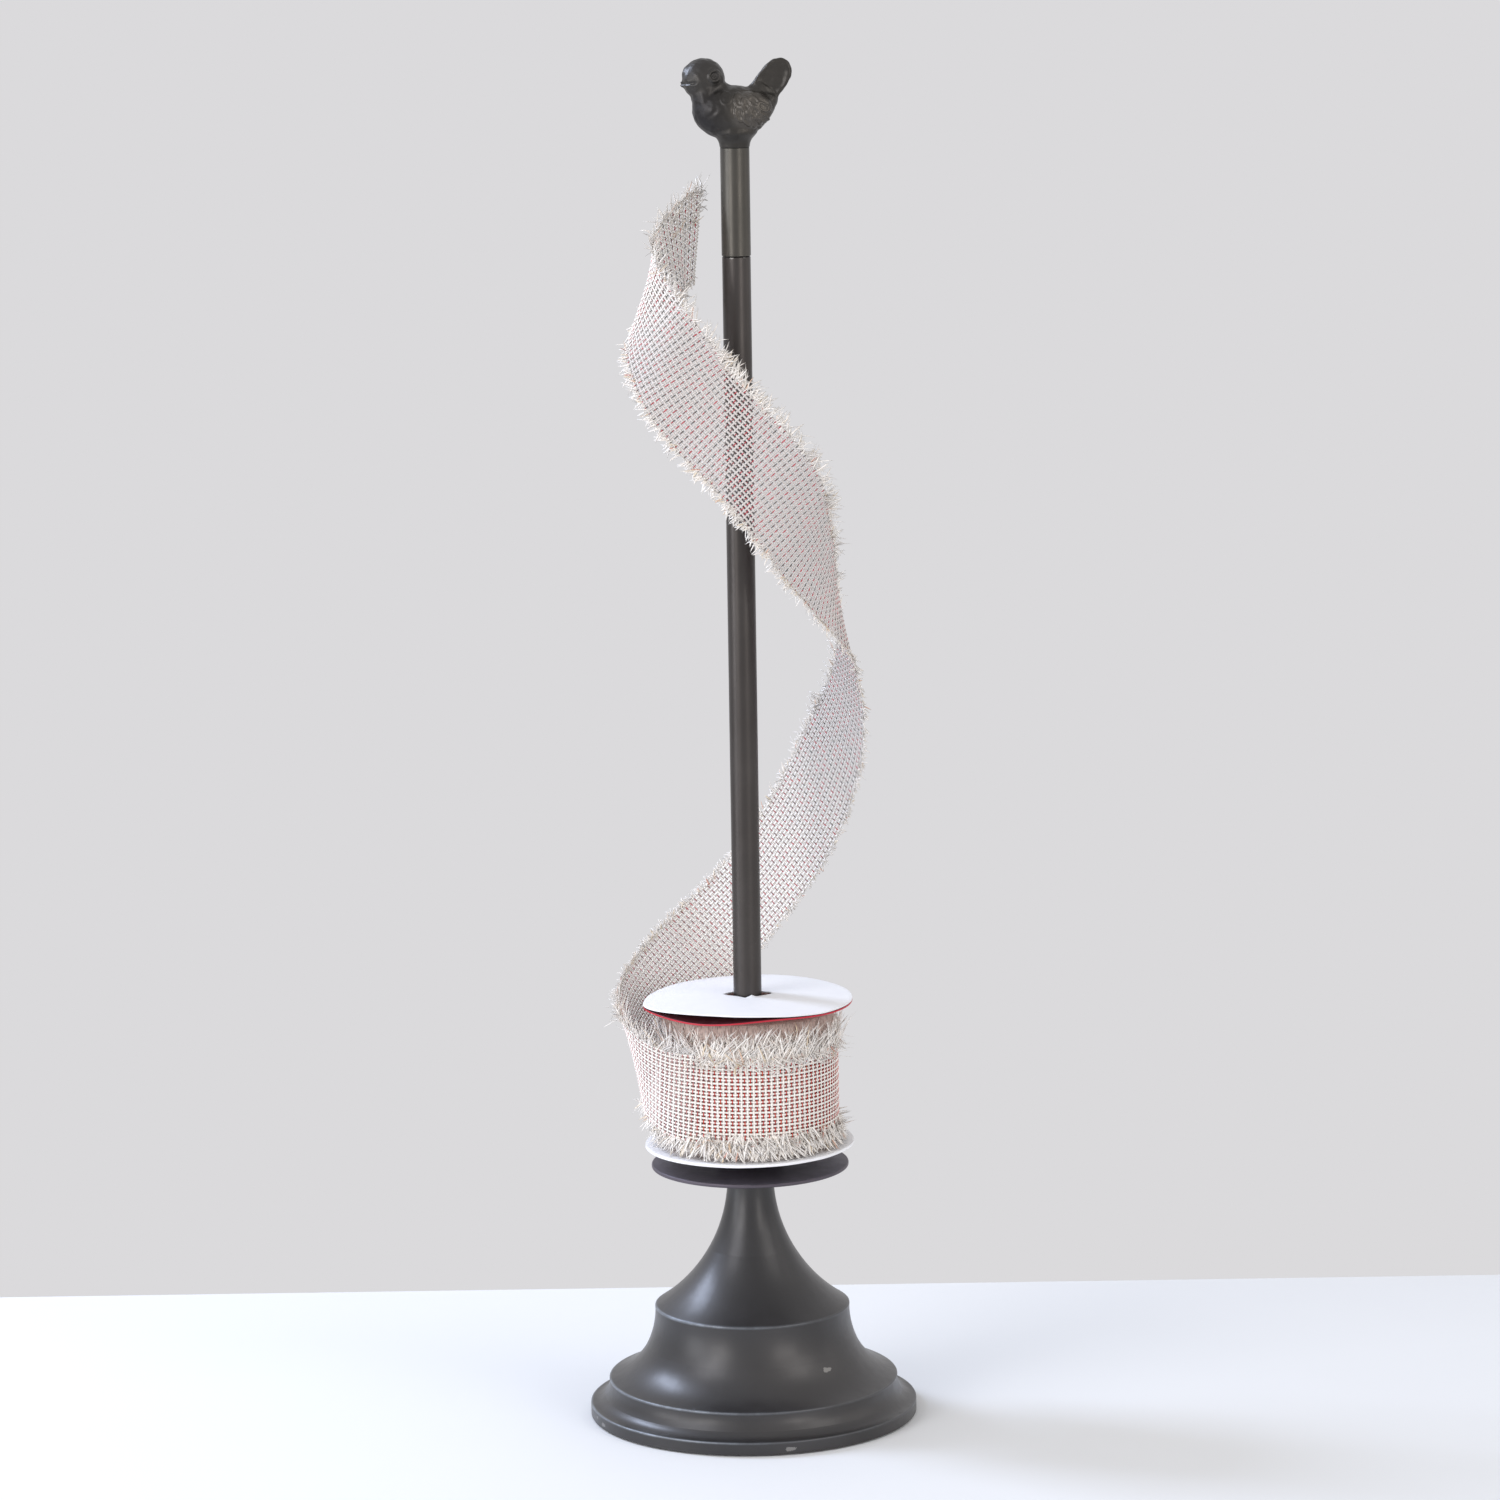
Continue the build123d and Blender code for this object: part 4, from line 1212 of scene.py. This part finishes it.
def carved(place):
    """How far the bird's skin stands out, in mm, at a place in mm from the body's middle."""
    x, y, z = place
    side = abs(y)
    depth = 0.0
    if side > 4 and -1 < x < 17 and -9 < z < 8.5:
        depth += feather(x, z) - 0.15
        depth += waves(x * 0.5, side * 0.4, z * 0.5) * 0.2
    # eye: a raised ring round a shallow pit with a pupil
    eye = math.dist((x, z), (-8.5, 15.0))
    if side > 4.2 and eye < 5:
        depth += 0.85 * bump_of(eye - 2.2, 0.95) - 0.6 * bump_of(eye, 1.9) + 0.8 * bump_of(eye, 1.0)
        depth += 0.25 * bump_of(math.dist((x, z), (-8.7, 12.0)), 1.8)
    # mouth: a groove from the beak's tip back into the cheek, over a raised lip
    if -24 < x < -16.0:
        groove = 11.35 + (x + 24) * 0.09
        depth -= 0.5 * bump_of(z - groove, 0.75) * min(1.0, (-16.0 - x) / 1.2)
        if side > 1:
            depth += 0.3 * bump_of(z - (groove - 0.95), 0.6) * min(1.0, (-16.0 - x) / 1.2)
    # small feather on the shoulder, and toes on the foot
    if side > 7:
        shoulder = math.dist((x, z * 0.85), (-3.6, 4.6))
        depth += 0.3 * bump_of(shoulder, 2.0) + 0.25 * bump_of(shoulder - 2.2, 0.5)
        for toe in (-3.0, 0.6, 5.0):
            depth += 0.4 * bump_of(math.dist((x, z), (toe, -12.4)), 1.0)
    soft = waves(x * 0.45, y * 0.45, z * 0.45) * 0.22
    return depth + soft


bird = bird_forms()
melt = bird.modifiers.new("melt", "REMESH")
melt.mode = "VOXEL"
melt.voxel_size = 0.38 * MM
melt.adaptivity = 0.0
ease = bird.modifiers.new("ease", "SMOOTH")
ease.factor = 0.6
ease.iterations = 9
bird_mesh = evaluated_mesh(bird)
bird.modifiers.clear()
bird.data = bird_mesh
skin = [(v.co.copy(), v.normal.copy()) for v in bird_mesh.vertices]
for vert, (place, way) in zip(bird_mesh.vertices, skin):
    local = place / MM - Vector((0, 0, bird_level))
    fade = min(1.0, max(0.0, (local.z + 12.5) / 3))
    vert.co = place + way * (carved(local) * fade * MM)
bird_mesh.shade_smooth()
bird_mesh.materials.clear()
bird_mesh.materials.append(bird_paint)
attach(bird, "finial")
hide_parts("bird_finial")

# Floor, lamps, world and camera
floor_tone = rgb(241, 242, 244)
floor_finish = Finish("pale_floor")
cloud = floor_finish.noise(floor_finish.object_place(), 3.0)
clouded = tuple(value * 0.985 for value in floor_tone[:3]) + (1.0,)
floor_finish.set(Base_Color=floor_finish.mix(cloud.ramp(0.3, 0.7), floor_tone, clouded), Roughness=0.85)
floor_side, floor_front, floor_back = 0.9, -0.8, 0.2196
floor_edges = ((-1, floor_front), (1, floor_front), (1, floor_back), (-1, floor_back))
floor_mesh = plain_mesh("floor", [(x * floor_side, y, 0) for x, y in floor_edges], [(0, 1, 2, 3)])
floor_mesh.materials.append(floor_finish.material)
linked("floor", floor_mesh)


def lamp(name, place, aim, size, power, colour):
    """A soft rectangular lamp that looks at a height on the post's axis."""
    light = bpy.data.lights.new(name, "AREA")
    light.shape = "RECTANGLE"
    light.size, light.size_y = size
    light.energy = power
    light.color = colour
    holder = linked(name, light)
    holder.location = place
    holder.rotation_euler = (Vector((0, 0, aim)) - Vector(place)).to_track_quat("-Z", "Y").to_euler()


lamp("window", (-1.25, 0.55, 1.25), 0.2, (0.40, 0.58), 18.0, (0.68, 0.78, 1.0))
lamp("sky", (-1.6, -1.3, 1.3), 0.25, (1.1, 1.3), 16.0, (0.93, 0.94, 1.0))
lamp("right_front_fill", (2.0, -1.3, 1.6), 0.3, (1.2, 1.4), 11.0, (1.0, 0.97, 0.93))
lamp("left_side_fill", (-2.3, -0.9, 0.3), 0.25, (1.0, 0.8), 8.0, (0.93, 0.96, 1.0))
lamp("left_low_fill", (-1.9, -2.4, 0.7), 0.3, (1.0, 1.0), 15.0, (1.0, 0.98, 0.96))
lamp("right_low_fill", (1.8, -2.5, 0.7), 0.3, (1.0, 1.0), 11.0, (1.0, 0.96, 0.92))
lamp("right_fill", (1.7, 0.1, 0.8), 0.3, (0.5, 1.2), 1.0, (1.0, 0.94, 0.88))

world = bpy.data.worlds.new("studio")
bpy.context.scene.world = world
world.use_nodes = True
world_tree = world.node_tree
glow = next(n for n in world_tree.nodes if n.type == "BACKGROUND")
world_out = next(n for n in world_tree.nodes if n.type == "OUTPUT_WORLD")
glow.inputs["Color"].default_value = (0.93, 0.93, 0.94, 1.0)
glow.inputs["Strength"].default_value = 0.58
rays = world_tree.nodes.new("ShaderNodeLightPath")
seen = Wire(rays.outputs["Is Camera Ray"])
for ray in ("Is Glossy Ray", "Is Transmission Ray"):
    seen = seen.maths("MAXIMUM", Wire(rays.outputs[ray]))
backdrop = add_node(world_tree, "ShaderNodeBackground", None, {"Color": rgb(219, 218, 220), "Strength": 1.0})
shown = add_node(world_tree, "ShaderNodeMixShader", None, {0: seen, 1: Wire(glow.outputs[0]), 2: backdrop})
plug(world_out.inputs[0], shown)

bpy.context.scene.view_settings.view_transform = "Standard"

camera_data = bpy.data.cameras.new("camera")
camera_data.sensor_width = 36.0
camera_data.lens = 133.58
camera_data.clip_start = 0.05
camera = linked("camera", camera_data)
camera.location = (0.00275, -2.468, 0.71717)
tilt, roll = math.radians(80.56), math.radians(-0.866)
camera.rotation_euler = (Matrix.Rotation(tilt, 4, "X") @ Matrix.Rotation(roll, 4, "Z")).to_euler()
bpy.context.scene.camera = camera
